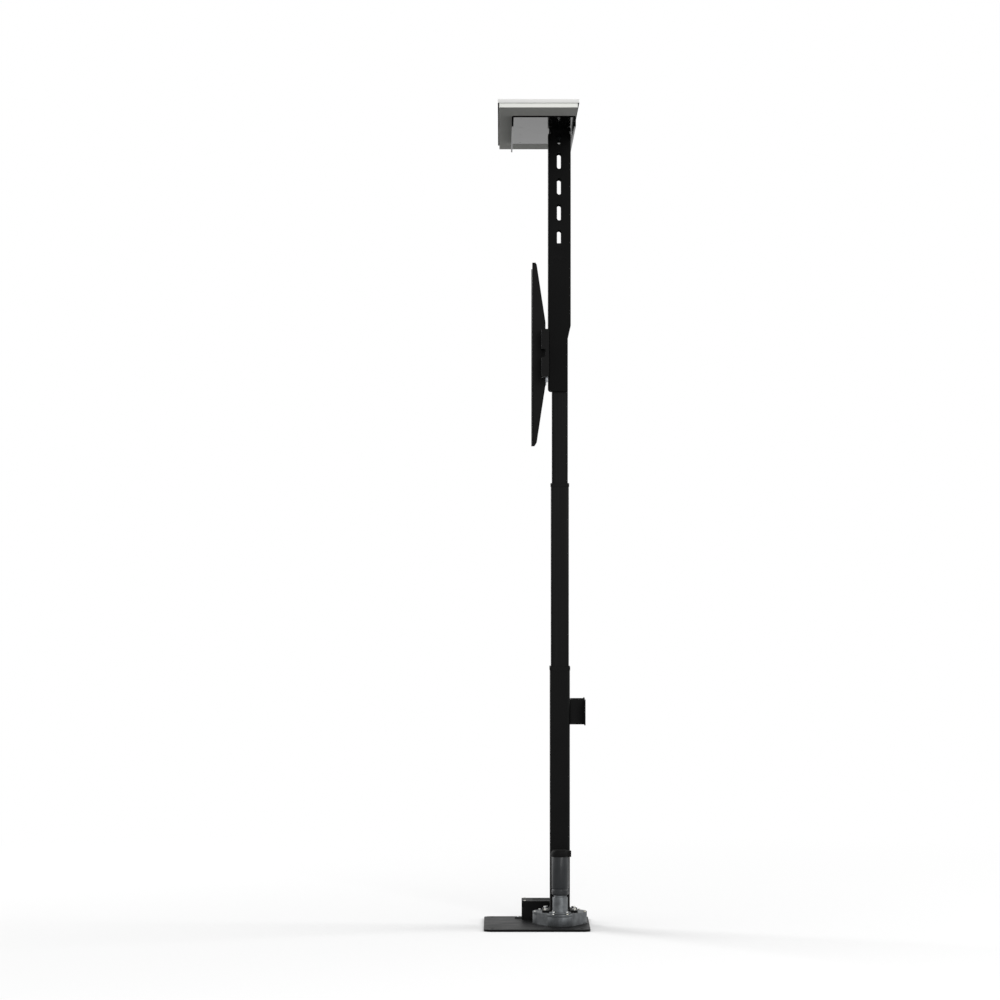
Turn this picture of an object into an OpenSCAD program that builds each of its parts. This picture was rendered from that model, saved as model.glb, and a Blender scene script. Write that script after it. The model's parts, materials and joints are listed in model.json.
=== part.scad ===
// Column lift for a flat screen, drawn raised.
// +Z is up and -Y is the front. The origin is on the floor, under the column's axis.

/* [Lift] */
// Room left at full height between the inner tube's foot and the collar above it
end_room = 4; // [3:1:80]

/* [Column] */
// Width of the inner tube, side to side
inner_w = 70; // [64:1:90]
// Depth of the inner tube, front to back
inner_d = 37.5; // [37:0.5:50]
// Wall of the three tubes
tube_wall = 1.5; // [1.2:0.1:2]
// Gap between one tube and the next
tube_gap = 0.9; // [0.8:0.05:1.5]
// Outer corner radius of the tubes
tube_corner = 5; // [3:0.5:8]
// Length of the outer tube
outer_len = 573; // [500:1:700]
// Height of the ring on a collar
collar_h = 9; // [5:0.5:15]
// Overhang of a collar past its tube
collar_lip = 0.75; // [0.5:0.05:1.5]
// Depth of a collar's sliding sleeve
sleeve_len = 60; // [30:1:90]
// Height of the shoe under a moving tube
shoe_h = 10; // [8:1:20]
// Length of the plug that holds a shoe in its tube
plug_len = 30; // [28:1:45]
// Height of the column head
head_h = 58; // [50:1:80]
// Thickness of the column head's top
head_cap = 6; // [4:0.5:10]

/* [Carriage] */
// Sheet of the carriage channel
channel_sheet = 2.5; // [2:0.1:4]
// Length of the carriage channel
channel_len = 609.5; // [590:0.5:700]
// Height of the column head above the channel's lower end
head_rise = 292.5; // [230:0.5:310]
// Depth of the channel's sides at the top
side_depth = 53.5; // [51.5:0.5:65]
// Depth of the channel's sides at the bottom
side_depth_low = 46.5; // [40:0.5:50]
// Width of the adjusting slots
slot_w = 10; // [9:0.5:14]
// Length of the adjusting slots
slot_len = 39; // [25:1:50]
// Pitch of the adjusting slots
slot_pitch = 61; // [54:1:63]

/* [Screen mount] */
// Width of the screen's hole pattern
screen_w = 300; // [200:10:380]
// Height of the screen's hole pattern
screen_h = 400; // [300:10:440]
// Screen hole diameter
screen_hole = 8.5; // [6.5:0.5:9]
// Length of the crossbars
bar_len = 450; // [440:5:600]
// Height of a crossbar
bar_h = 45; // [40:1:55]
// Height of the lip on a crossbar
bar_lip = 10; // [8:0.5:13]
// Depth of a crossbar
bar_depth = 13; // [12:0.5:18]
// Sheet of the crossbars and the rails
bar_sheet = 2; // [1.5:0.1:2.5]
// Thickness of the mount plate
mount_t = 4; // [3:0.5:6]
// Width of a screen rail
rail_w = 32; // [28:1:40]
// Depth of a screen rail at its middle
rail_depth = 31; // [28:0.5:32]
// Depth of a screen rail at its ends
rail_tip_depth = 10.5; // [8:0.5:16]

/* [Lid] */
// Length of the lid
lid_len = 1206; // [900:2:1500]
// Depth of the lid
lid_d = 183; // [170:1:260]
// Thickness of the lid's top panel
panel_t = 8.5; // [8:0.5:20]
// Thickness of the lid's core board
core_t = 10; // [8:0.5:20]
// Step from the panel's edge to the core's
core_inset = 3.5; // [1:0.5:8]
// Length of the lid tray
tray_len = 760; // [600:10:860]
// Depth of the lid tray
tray_d = 147; // [130:1:160]
// Height of the lid tray's edges
tray_edge = 24.5; // [12:0.5:40]
// Sheet of the lid tray
tray_sheet = 3.5; // [2:0.1:4.5]

/* [Base] */
// Width of the base plate
base_w = 340; // [338:2:420]
// Depth of the base plate
base_d = 250; // [245:5:360]
// Thickness of the base plate
base_t = 5; // [4:0.5:10]
// Floor bolt hole diameter
floor_hole = 9; // [7:0.5:12]
// Reach of the rear brace behind the column's axis
brace_reach = 60; // [45:1:90]
// Height of the rear brace
brace_h = 60; // [45:1:65]
// Hole diameter in the rear brace
brace_hole = 9; // [6.5:0.5:10]

/* [Drive] */
// Module of the gears
gear_module = 2; // [1.8:0.05:2.1]
// Teeth on the motor pinion
pinion_teeth = 18; // [17:1:19]
// Teeth on the wheel
wheel_teeth = 54; // [52:1:56]
// Face width of the wheel
gear_face = 14; // [10:1:16]
// Outer diameter of the lower screw
lower_screw_dia = 14; // [13.5:0.5:14.5]
// Outer diameter of the upper screw
upper_screw_dia = 24; // [23.5:0.5:25.5]
// Size of the hex in the upper screw, across flats
hex_bore = 15; // [14.8:0.1:15.4]
// Diameter of the motor can
motor_dia = 40; // [34:1:42]
// Length of the motor can
motor_len = 90; // [60:1:140]

/* [Control box] */
// Width of the control box
box_w = 90; // [88:1:92]
// Depth of the control box
box_d = 100; // [90:1:140]
// Height of the control box
box_h = 45; // [40:1:70]
// Wall of the control box
box_wall = 2.5; // [2:0.1:3.5]

/* [Fits] */
// Gap round a piece that slides or turns
run = 0.3; // [0.25:0.01:0.4]
// Gap round a fixed piece in its seat
seat = 0.05; // [0.02:0.01:0.1]
// Gap of a shaft in its bearing
shaft_gap = 0.05; // [0.02:0.01:0.1]
// Thinning of a gear tooth for backlash
backlash = 0.25; // [0.15:0.01:0.4]

/* [Hidden] */
$fn = 64;

black = "#1c1c1c";
plastic = "#202122";
steel = "#a8abae";
zinc = "#b9bcc0";
brass = "#b08d4f";
board_white = "#e2e3de";

// Sizes across the column
tube_step = 2 * (tube_wall + tube_gap);
inner_size = [inner_w, inner_d];
middle_size = inner_size + [tube_step, tube_step];
outer_size = middle_size + [tube_step, tube_step];

// Heights of the drive and of the column
case_floor = 4;
gear_room = 18;
cover_t = 6;
stop_gap = 1;
foot_gap = 7;
foot_h = shoe_h + plug_len;
// Travel of each of the two moving stages, from what has to fit between a tube's two ends
stage_stroke = outer_len + collar_h + stop_gap - sleeve_len - end_room - 2 * (foot_gap + foot_h);
cavity_z0 = base_t + case_floor;
cavity_z1 = cavity_z0 + gear_room;
case_z1 = cavity_z1 + cover_t;
outer_top = case_z1 + outer_len;
middle_top = outer_top + collar_h + stop_gap + stage_stroke;
middle_foot_z = case_z1 + foot_gap + stage_stroke;
middle_plug_top = middle_foot_z + foot_h;
inner_foot_z = middle_plug_top + foot_gap + stage_stroke;
inner_plug_top = inner_foot_z + foot_h;
head_clear = 85;
head_z0 = middle_top + collar_h + stage_stroke + head_clear;
head_z1 = head_z0 + head_h;
inner_top = head_z1 - head_cap;

// Drive sizes
pressure_angle = 20;
flank_steps = 3;
axle_x = gear_module * (pinion_teeth + wheel_teeth) / 2;
tip_gap = 1.5;
case_wall = 7;
wheel_room_r = gear_module * (wheel_teeth / 2 + 1) + tip_gap;
pinion_room_r = gear_module * (pinion_teeth / 2 + 1) + tip_gap;
case_r = wheel_room_r + case_wall;
nose_wall = 10.5;
flat_inset = 0.2;
nose_r = pinion_room_r + nose_wall;
rim_screw_r = wheel_room_r + case_wall / 2;
nose_screw_r = pinion_room_r + 7.2;
cover_screw_angles = [75, 130, 180, 230, 285];
nose_screw_angles = [-35, 35];
case_screw_angles = [100, 155, 205, 260];
small_screw = 4;
wheel_seat_dia = 16;
main_journal = 15;
main_bearing_od = 32;
foot_journal = 10;
bush_od = 22;
pinion_shaft = 8;
driver_len = 25;
driver_spigot = 10;
driver_z1 = middle_plug_top + 23;

// Nuts and the bearing in the two feet
nut_flange_t = 4;
nut_h = 29;
nut_wall = 5;
lower_nut_od = lower_screw_dia + 2 * nut_wall;
upper_nut_od = upper_screw_dia + nut_wall;
lower_flange_od = lower_nut_od + 8;
upper_flange_od = upper_nut_od + 5;
screw_bearing_h = 9;
upper_journal = upper_screw_dia - 2;
screw_bearing_od = upper_journal + 14;

// Carriage
channel_front_gap = 1.2;
channel_side_gap = 1.95;
channel_x = outer_size[0] / 2 + collar_lip + channel_side_gap + channel_sheet;
channel_y = -(outer_size[1] / 2 + collar_lip + channel_front_gap + channel_sheet);
channel_in_x = channel_x - channel_sheet;
channel_in_y = channel_y + channel_sheet;
channel_bend = 4;
channel_z0 = head_z0 - head_rise;
channel_z1 = channel_z0 + channel_len;
channel_corner = 7;
cutback_z0 = channel_z0 + 124.5;
cutback_z1 = channel_z0 + 155.5;
slot_y = channel_y + side_depth / 2 - 0.75;
first_slot_z = head_z1 + 12.5;
top_slot_z0 = channel_z1 - 25.5;
top_slot_z1 = channel_z1 - 3;
slot_bridge = 8;
slot_count = 1 + floor((top_slot_z0 - slot_bridge - slot_len / 2 - first_slot_z) / slot_pitch);
head_bolt = 6;
head_bolt_sink = channel_sheet - 0.3;
head_bolt_head = head_bolt + 2 * head_bolt_sink;
head_bolt_z = [17, 42];
head_bolt_y = [-9, 9];

// Screen mount
screen_z = channel_z0 + 85;
bar_gap = 20;
mount_y = channel_y - mount_t;
bar_y = mount_y - bar_depth;
bar_z0 = screen_z + bar_gap / 2;
bar_z1 = bar_z0 + bar_h;
shelf_z1 = bar_z1 - bar_lip;
stud_dia = 6;
stud_x = 25;
stud_rise = (bar_z0 + shelf_z1) / 2 - screen_z;
nut_washer_t = 1.2;
nut_t = 5;
rail_front = bar_y - 21.5;
rail_back = rail_front + rail_depth;
rail_half = screen_h / 2 + 13;
rail_flat = bar_gap / 2 + bar_h + 18.5;
rail_bend = 3;
tip_chamfer = [3, 5];
catch_z0 = screen_z - bar_gap / 2 - bar_h - 11.5;
catch_z1 = catch_z0 + 13;
tab_t = 3;
catch_gap = 0.5;
lock_dia = 5;
lock_y = bar_y + bar_sheet + catch_gap + 3.6;

// Lid
bracket_room = 6;
bracket_t = 4;
bracket_leg_t = 3;
bracket_leg_drop = 21;
bracket_gap = 0.2;
bracket_z0 = channel_z1 + bracket_room;
tray_z0 = bracket_z0 + bracket_t;
core_z0 = tray_z0 + tray_sheet;
panel_z0 = core_z0 + core_t;
bracket_bolt = 6;
bracket_bolt_z = channel_z1 - 9.5;
tray_bolt = 6;
tray_bolt_x = 26;
tray_bolt_y = [-15, 15];
tray_front = -115;
lid_front = -147;
lid_screw = 4.5;
lid_screw_head = 2 * lid_screw;
lid_screw_x = [0.27, 0.9];
lid_screw_inset = 22;
lid_screw_depth = 6;

// Base and control box
base_corner = 18;
base_y = -55;
floor_bolt_inset = 20;
foot_w = 88;
foot_d = 84;
foot_t = 5;
foot_bolt = 6;
foot_bolt_x = 32;
foot_bolt_y = 33;
brace_top = outer_top - 68;
brace_sheet = 3;
brace_w = 60;
brace_wing = 45;
brace_hole_pitch = 30;
brace_hole_inset = 15;
box_x = -(case_r + 10 + box_w / 2);
box_y = -40;
box_corner = 6;
box_split = 30;
box_ear = 14;
box_screw_inset = 7;
post_dia = 8;
board_z = base_t + 8;
board_t = 1.6;
socket_pitch = 26;
socket_w = 16;
socket_h = 13;
socket_depth = 13;

// A profile drawn in (y, z) and run along X, one in (x, z) run along Y, and one in (x, y) run up
module along_x(x0, x1) translate([x0, 0, 0]) rotate([90, 0, 90]) linear_extrude(x1 - x0) children();
module along_y(y0, y1) translate([0, y1, 0]) rotate([90, 0, 0]) linear_extrude(y1 - y0) children();
module along_z(z0, z1) translate([0, 0, z0]) linear_extrude(z1 - z0) children();

// A box between two corners
module block(low, high) translate(low) cube(high - low);
module rect(low, high) translate(low) square(high - low);

// A centred rectangle with round corners
module rounded_rect(size, r) {
    square([size[0] - 2 * r, size[1]], center = true);
    square([size[0], size[1] - 2 * r], center = true);
    for (x = [-1, 1], y = [-1, 1])
        translate([x * (size[0] / 2 - r), y * (size[1] / 2 - r)]) circle(r);
}

// A slot outline with round ends, upright
module slot_outline(width, length) {
    square([width, length - width], center = true);
    for (side = [-1, 1]) translate([0, side * (length - width) / 2]) circle(d = width);
}

// A ring between two heights
module ring(outer_dia, inner_dia, z0, z1) along_z(z0, z1) difference() {
    circle(d = outer_dia);
    circle(d = inner_dia);
}

// A ball bearing with the shallow groove of its shields in both faces
module bearing(outer_dia, inner_dia, z0, z1) {
    race = (outer_dia - inner_dia) / 8;
    shield = 0.6;
    difference() {
        ring(outer_dia, inner_dia, z0, z1);
        for (z = [z0, z1 - shield]) ring(outer_dia - 2 * race, inner_dia + 2 * race, z, z + shield);
    }
}

// A screw along +Z with its head on top, its seat at z 0; a countersunk head lies below the seat
module screw(dia, length, head_dia, head_h) {
    translate([0, 0, -length]) cylinder(d = dia, h = length);
    cylinder(d = head_dia, h = head_h);
}
module flat_screw(dia, length, head_dia) {
    head_h = (head_dia - dia) / 2;
    translate([0, 0, -length]) cylinder(d = dia, h = length);
    translate([0, 0, -head_h]) cylinder(d1 = dia, d2 = head_dia, h = head_h);
}
module hex_bolt(dia, length, head_h) {
    translate([0, 0, -length]) cylinder(d = dia, h = length);
    cylinder(d = 1.9 * dia, h = head_h, $fn = 6);
}

// Places on a circle
module polar(r, angle) translate([r * cos(angle), r * sin(angle), 0]) children();

// Places of the screws that share the gear case
module cover_screw_places() {
    for (a = cover_screw_angles) polar(rim_screw_r, a) children();
    for (a = nose_screw_angles) translate([axle_x, 0, 0]) polar(nose_screw_r, a) children();
}
module case_screw_places() for (a = case_screw_angles) polar(rim_screw_r, a) children();
module foot_bolt_places()
    for (x = [-1, 1], y = [-1, 1]) translate([x * foot_bolt_x, y * foot_bolt_y, 0]) children();
motor_flange_r = nose_r - 6.5;
motor_screw_r = motor_flange_r - 3.5;
module motor_screw_places()
    for (a = [45 : 90 : 315]) translate([axle_x, 0, 0]) polar(motor_screw_r, a) children();
module box_ear_places()
    for (side = [-1, 1]) translate([box_x, box_y + side * (box_d + box_ear) / 2, 0]) children();
module box_post_places() for (x = [-1, 1], y = [-1, 1])
    translate([box_x + x * (box_w / 2 - box_screw_inset), box_y + y * (box_d / 2 - box_screw_inset), 0])
        children();

// Gear outline: involute flanks from the root to the tip
function involute_angle(r, base_r) =
    let (roll = sqrt(max(0, pow(r / base_r, 2) - 1))) roll * 180 / PI - atan(roll);
function tooth(teeth) =
    let (pitch_r = gear_module * teeth / 2,
         base_r = pitch_r * cos(pressure_angle),
         root_r = pitch_r - 1.25 * gear_module,
         tip_r = pitch_r + gear_module,
         foot_r = max(root_r, base_r),
         half = 90 / teeth - backlash / 2 / pitch_r * 180 / PI + involute_angle(pitch_r, base_r),
         radii = [for (i = [0 : flank_steps]) foot_r + (tip_r - foot_r) * i / flank_steps],
         flank = [for (r = radii) [r, half - involute_angle(r, base_r)]],
         first = foot_r > root_r ? 0 : 1,
         side = concat([[root_r, flank[0][1]]], [for (i = [first : flank_steps]) flank[i]]))
    concat([for (p = side) [p[0], -p[1]]], [for (i = [len(side) - 1 : -1 : 0]) side[i]]);
module gear_outline(teeth) polygon([for (i = [0 : teeth - 1], p = tooth(teeth))
    p[0] * [cos(p[1] + 360 / teeth * i), sin(p[1] + 360 / teeth * i)]]);

// Teardrop round the wheel and the pinion, its flat sides a hair inside the common tangents
module teardrop(r_wheel, r_pinion) {
    lean = acos((r_wheel - r_pinion) / axle_x);
    tangent = [cos(lean), sin(lean)];
    near = r_wheel - flat_inset;
    far = r_pinion - flat_inset;
    circle(r_wheel);
    translate([axle_x, 0]) circle(r_pinion);
    polygon([
        [near * tangent[0], -near * tangent[1]],
        [axle_x + far * tangent[0], -far * tangent[1]],
        [axle_x + far * tangent[0], far * tangent[1]],
        [near * tangent[0], near * tangent[1]],
    ]);
}

// Column pieces that both moving stages share
module tube(size, z0, z1) along_z(z0, z1) difference() {
    rounded_rect(size, tube_corner);
    rounded_rect(size - 2 * [tube_wall, tube_wall], tube_corner - tube_wall);
}
function grown(size, gap) = size + 2 * [gap, gap];
module collar(size, z) {
    sliding = grown(size, -(tube_wall + tube_gap));
    difference() {
        union() {
            along_z(z, z + collar_h) rounded_rect(grown(size, collar_lip), tube_corner + collar_lip);
            along_z(z - sleeve_len, z) rounded_rect(grown(size, -tube_wall - seat), tube_corner - tube_wall);
        }
        along_z(z - sleeve_len - 1, z + collar_h + 1) rounded_rect(grown(sliding, run), tube_corner + run);
    }
}
module foot(size, z) {
    along_z(z, z + shoe_h) rounded_rect(grown(size, tube_gap - run), tube_corner - tube_wall - run);
    along_z(z + shoe_h, z + foot_h)
        rounded_rect(grown(size, -tube_wall - seat), tube_corner - tube_wall);
}
module nut_seat(od, flange_od, z) {
    translate([0, 0, z - 1]) cylinder(d = flange_od + 2 * seat, h = nut_flange_t + 1);
    translate([0, 0, z]) cylinder(d = od + 2 * seat, h = nut_h);
}
module flanged_nut(od, flange_od, bore, z) difference() {
    union() {
        translate([0, 0, z]) cylinder(d = flange_od, h = nut_flange_t);
        translate([0, 0, z]) cylinder(d = od, h = nut_h);
    }
    translate([0, 0, z - 1]) cylinder(d = bore, h = nut_h + 2);
}

// Base

module base_plate() color(black) difference() {
    along_z(0, base_t) translate([0, base_y]) rounded_rect([base_w, base_d], base_corner);
    for (x = [-1, 1], y = [-1, 1])
        translate([x * (base_w / 2 - floor_bolt_inset), base_y + y * (base_d / 2 - floor_bolt_inset), -1])
            cylinder(d = floor_hole, h = base_t + 2);
    case_screw_places() {
        translate([0, 0, -1]) cylinder(d = small_screw + 2 * seat, h = base_t + 2);
        translate([0, 0, -seat]) cylinder(d1 = 2 * small_screw + 4 * seat, d2 = small_screw + 2 * seat,
            h = small_screw / 2 + 2 * seat);
    }
    box_ear_places() translate([0, 0, -1]) cylinder(d = small_screw + 2 * seat, h = base_t + 2);
}

module gear_case() color("#3a3c3e") difference() {
    along_z(base_t, cavity_z1) teardrop(case_r, nose_r);
    along_z(cavity_z0, cavity_z1 + 1) teardrop(wheel_room_r, pinion_room_r);
    translate([0, 0, base_t - 1]) cylinder(d = bush_od + 2 * seat, h = case_floor + 2);
    case_screw_places() translate([0, 0, base_t - 1]) cylinder(d = small_screw + 2 * seat, h = 13);
    cover_screw_places() translate([0, 0, cavity_z1 - 11]) cylinder(d = small_screw + 2 * seat, h = 12);
}

module gear_cover() color("#3a3c3e") difference() {
    along_z(cavity_z1, case_z1) teardrop(case_r, nose_r);
    translate([0, 0, cavity_z1 - 1]) cylinder(d = main_bearing_od + 2 * seat, h = cover_t + 2);
    translate([axle_x, 0, cavity_z1 - 1]) cylinder(d = pinion_shaft + 6, h = cover_t + 2);
    translate([0, 0, cavity_z1 - 1]) {
        cover_screw_places() cylinder(d = small_screw + 2 * seat, h = cover_t + 2);
        foot_bolt_places() cylinder(d = foot_bolt + 2 * seat, h = cover_t + 2);
        motor_screw_places() cylinder(d = small_screw + 2 * seat, h = cover_t + 2);
    }
}

module case_screws() color(zinc) case_screw_places()
    rotate([180, 0, 0]) flat_screw(small_screw, base_t + 11, 2 * small_screw);

module cover_screws() color(zinc) cover_screw_places() translate([0, 0, case_z1])
    screw(small_screw, cover_t + 10, 1.5 * small_screw, 2.4);

module thrust_bush() color(brass) {
    ring(bush_od, foot_journal + 2 * shaft_gap, base_t, cavity_z0);
    ring(bush_od + 4, foot_journal + 2 * shaft_gap, cavity_z0, cavity_z0 + 0.8);
}

module main_bearing() color(steel) bearing(main_bearing_od, main_journal + 2 * shaft_gap, cavity_z1, case_z1);

module outer_tube() color(black) {
    tube(outer_size, case_z1, outer_top);
    difference() {
        along_z(case_z1, case_z1 + foot_t) rounded_rect([foot_w, foot_d], 6);
        along_z(case_z1 - 1, case_z1 + foot_t + 1)
            rounded_rect(outer_size - 2 * [tube_wall, tube_wall], tube_corner - tube_wall);
        foot_bolt_places() translate([0, 0, case_z1 - 1]) cylinder(d = foot_bolt + 0.6, h = foot_t + 2);
    }
}

module outer_collar() color(plastic) collar(outer_size, outer_top);

module foot_bolts() color(zinc) foot_bolt_places() translate([0, 0, case_z1 + foot_t])
    hex_bolt(foot_bolt, foot_t + cover_t - 0.5, 4);

// Hat-shaped bracket welded on the back of the outer tube, with holes in its two wings
module rear_brace() color(black) {
    tube_back = outer_size[1] / 2;
    wing_x0 = brace_w / 2 - brace_sheet;
    wing_x1 = brace_w / 2 + brace_wing;
    brace_mid = brace_top - brace_h / 2;
    hole_x = wing_x1 - brace_hole_inset;
    difference() {
        along_z(brace_top - brace_h, brace_top) {
            rect([-brace_w / 2, tube_back], [brace_w / 2, tube_back + brace_sheet]);
            for (side = [-1, 1]) scale([side, 1]) {
                rect([wing_x0, tube_back], [brace_w / 2, brace_reach]);
                rect([wing_x0, brace_reach - brace_sheet], [wing_x1, brace_reach]);
            }
        }
        for (side = [-1, 1], up = [-0.5, 0.5])
            translate([side * hole_x, brace_reach + 1, brace_mid + up * brace_hole_pitch])
                rotate([90, 0, 0]) cylinder(d = brace_hole, h = brace_sheet + 2);
    }
}

motor_flange_t = 4;
gearhead_z1 = case_z1 + 45;
can_z1 = gearhead_z1 + motor_len;
cap_h = 16;

module motor_gearhead() color("#8d9093") difference() {
    translate([axle_x, 0, case_z1]) {
        cylinder(r = motor_flange_r, h = motor_flange_t);
        cylinder(d = motor_dia - 4, h = gearhead_z1 - case_z1 - 5);
        cylinder(d = motor_dia - 10, h = gearhead_z1 - case_z1);
    }
    translate([axle_x, 0, case_z1 - 1]) cylinder(d = pinion_shaft + 2 * shaft_gap, h = 26);
    motor_screw_places() translate([0, 0, case_z1 - 1])
        cylinder(d = small_screw + 0.4, h = motor_flange_t + 2);
}

module motor_can() color("#2a2c2e") translate([axle_x, 0, 0]) rotate_extrude() polygon([
    [0, gearhead_z1], [motor_dia / 2 - 1.5, gearhead_z1], [motor_dia / 2, gearhead_z1 + 1.5],
    [motor_dia / 2, gearhead_z1 + 12], [motor_dia / 2 - 0.8, gearhead_z1 + 12.8],
    [motor_dia / 2 - 0.8, gearhead_z1 + 15], [motor_dia / 2, gearhead_z1 + 15.8],
    [motor_dia / 2, can_z1], [0, can_z1],
]);

// End cap with a recessed two-pole socket at its back
module motor_cap() color(plastic) difference() {
    union() {
        translate([axle_x, 0, can_z1]) cylinder(d = motor_dia + 1, h = cap_h - 3);
        translate([axle_x, 0, can_z1]) cylinder(d = motor_dia - 5, h = cap_h);
        block([axle_x - 9, 0, can_z1], [axle_x + 9, motor_dia / 2 + 6, can_z1 + cap_h - 2]);
    }
    block([axle_x - 7, motor_dia / 2 - 4, can_z1 + 2.5],
        [axle_x + 7, motor_dia / 2 + 7, can_z1 + cap_h - 4.5]);
}

module motor_screws() color(zinc) motor_screw_places() translate([0, 0, case_z1 + motor_flange_t])
    screw(small_screw, motor_flange_t + cover_t - 1, 1.6 * small_screw, 2.6);

// Control box: a base with ears and posts, a vented cover, the board and three rear sockets
module box_outline(inset) translate([box_x, box_y])
    rounded_rect([box_w, box_d] - 2 * [inset, inset], box_corner - inset);
module socket_places()
    for (i = [-1 : 1]) translate([box_x + i * socket_pitch, box_y + box_d / 2, board_z + board_t]) children();

module control_base() color(plastic) {
    box_top = base_t + box_split;
    difference() {
        union() {
            difference() {
                along_z(base_t, box_top) box_outline(0);
                along_z(base_t + box_wall, box_top + 1) box_outline(box_wall);
            }
            box_ear_places() translate([0, 0, base_t + box_wall / 2])
                cube([16, box_ear + 2 * box_wall, box_wall], center = true);
            box_post_places() translate([0, 0, base_t]) cylinder(d = post_dia, h = box_split);
        }
        box_ear_places() translate([0, 0, base_t - 1]) cylinder(d = small_screw + 0.4, h = box_wall + 2);
        box_post_places() translate([0, 0, base_t + 8]) cylinder(d = 3 + 2 * seat, h = box_split);
        socket_places() translate([-socket_w / 2 - seat, -box_wall - 1, -seat])
            cube([socket_w + 2 * seat, box_wall + 2, socket_h + 2 * seat]);
    }
}

module control_cover() color(plastic) {
    z0 = base_t + box_split;
    z1 = base_t + box_h;
    difference() {
        along_z(z0, z1) box_outline(0);
        along_z(z0 - 1, z1 - box_wall) box_outline(box_wall);
        for (i = [-3 : 3]) translate([box_x + i * 9, box_y, z1 - box_wall - 1])
            linear_extrude(box_wall + 2) slot_outline(3.5, box_d / 2);
        box_post_places() translate([0, 0, z0]) cylinder(d = 3.4, h = z1 - z0 + 1);
    }
    difference() {
        box_post_places() translate([0, 0, z0]) cylinder(d = post_dia, h = z1 - z0 - 1);
        box_post_places() translate([0, 0, z0 - 1]) cylinder(d = 3.4, h = z1 - z0 + 2);
    }
}

// Circuit board on four feet, with a ring-core coil, a capacitor and a relay
module control_board() color("#2f6a45") {
    size = [box_w - 4 * box_wall, box_d - 4 * box_wall];
    difference() {
        along_z(board_z, board_z + board_t) translate([box_x, box_y]) square(size, center = true);
        box_post_places() translate([0, 0, board_z - 1]) cylinder(d = post_dia + 1, h = board_t + 2);
    }
    translate([box_x, box_y, 0]) {
        for (x = [-22, 22], y = [-1, 1]) translate([x, y * (box_d / 2 - 20), base_t + box_wall])
            cylinder(d = 6, h = board_z - base_t - box_wall);
        translate([-16, -14, board_z + board_t]) cylinder(d = 30, h = 14);
        translate([20, -24, board_z + board_t]) cylinder(d = 12, h = 18);
        block([8, -8, board_z + board_t], [30, 8, board_z + board_t + 15]);
    }
}

module control_sockets() color("#131415") socket_places() translate([-socket_w / 2, 0.6 - socket_depth, 0])
    difference() {
        cube([socket_w, socket_depth, socket_h]);
        translate([2, 3, 2]) cube([socket_w - 4, socket_depth, socket_h - 4]);
    }

module control_screws() color(zinc) {
    box_ear_places() translate([0, 0, base_t + box_wall]) screw(small_screw, box_wall + base_t - 1, 7, 2.4);
    box_post_places() translate([0, 0, base_t + box_h]) screw(3, box_h - 12, 5.5, 1.8);
}

// Drive pieces that turn

module lower_screw() color(steel) {
    wheel_z1 = cavity_z0 + 2 + gear_face;
    spigot_z0 = driver_z1 - driver_len;
    translate([0, 0, base_t + 0.5]) cylinder(d = foot_journal, h = case_floor + 0.5);
    translate([0, 0, cavity_z0 + 1]) cylinder(d = wheel_seat_dia, h = wheel_z1 - cavity_z0 - 1);
    translate([0, 0, wheel_z1]) cylinder(d = wheel_seat_dia + 4, h = cavity_z1 - run - wheel_z1);
    translate([0, 0, wheel_z1]) cylinder(d = main_journal, h = case_z1 + run - wheel_z1);
    translate([0, 0, case_z1]) cylinder(d = lower_screw_dia, h = spigot_z0 - case_z1);
    translate([0, 0, spigot_z0]) cylinder(d = driver_spigot, h = driver_len);
}

// Hex that slides in the upper screw and turns it
module hex_driver() color(steel) difference() {
    translate([0, 0, driver_z1 - driver_len])
        cylinder(d = (hex_bore - 2 * run) / cos(30), h = driver_len, $fn = 6);
    translate([0, 0, driver_z1 - driver_len - 1]) cylinder(d = driver_spigot + 2 * seat, h = driver_len + 2);
}

module wheel_gear() color("#d8d4c6") difference() {
    z0 = cavity_z0 + 2;
    web = 4;
    rim_r = gear_module * (wheel_teeth / 2 - 4);
    hub_r = 15;
    along_z(z0, z0 + gear_face) gear_outline(wheel_teeth);
    for (z = [z0 - 1, z0 + gear_face / 2 + web / 2])
        ring(2 * rim_r, 2 * hub_r, z, z + gear_face / 2 - web / 2 + 1);
    for (a = [0 : 60 : 300]) polar((rim_r + hub_r) / 2, a)
        translate([0, 0, z0]) cylinder(d = (rim_r - hub_r) * 0.6, h = gear_face);
    translate([0, 0, z0 - 1]) cylinder(d = wheel_seat_dia + 2 * seat, h = gear_face + 2);
}

module motor_pinion() color(steel) translate([axle_x, 0, 0]) {
    z0 = cavity_z0 + 1;
    rotate(180 / pinion_teeth + 180) along_z(z0, z0 + gear_face + 2) gear_outline(pinion_teeth);
    translate([0, 0, z0]) cylinder(d = pinion_shaft, h = case_z1 + 24 - z0);
}

module upper_screw() color(steel) difference() {
    z0 = middle_plug_top - screw_bearing_h + 0.5;
    union() {
        translate([0, 0, z0]) cylinder(d = upper_journal, h = middle_plug_top + run - z0);
        translate([0, 0, middle_plug_top + run])
            cylinder(d = upper_screw_dia, h = inner_plug_top + 8 - middle_plug_top - run);
    }
    translate([0, 0, z0 - 1])
        cylinder(d = hex_bore / cos(30), h = inner_plug_top + 10 - z0, $fn = 6);
}

// Middle stage

module middle_tube() color(black) tube(middle_size, middle_foot_z + shoe_h, middle_top);

module middle_collar() color(plastic) collar(middle_size, middle_top);

module middle_foot() color(plastic) difference() {
    foot(middle_size, middle_foot_z);
    nut_seat(lower_nut_od, lower_flange_od, middle_foot_z);
    translate([0, 0, middle_foot_z]) cylinder(d = lower_screw_dia + 4, h = foot_h);
    translate([0, 0, middle_plug_top - screw_bearing_h])
        cylinder(d = screw_bearing_od + 2 * seat, h = screw_bearing_h + 1);
}

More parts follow.
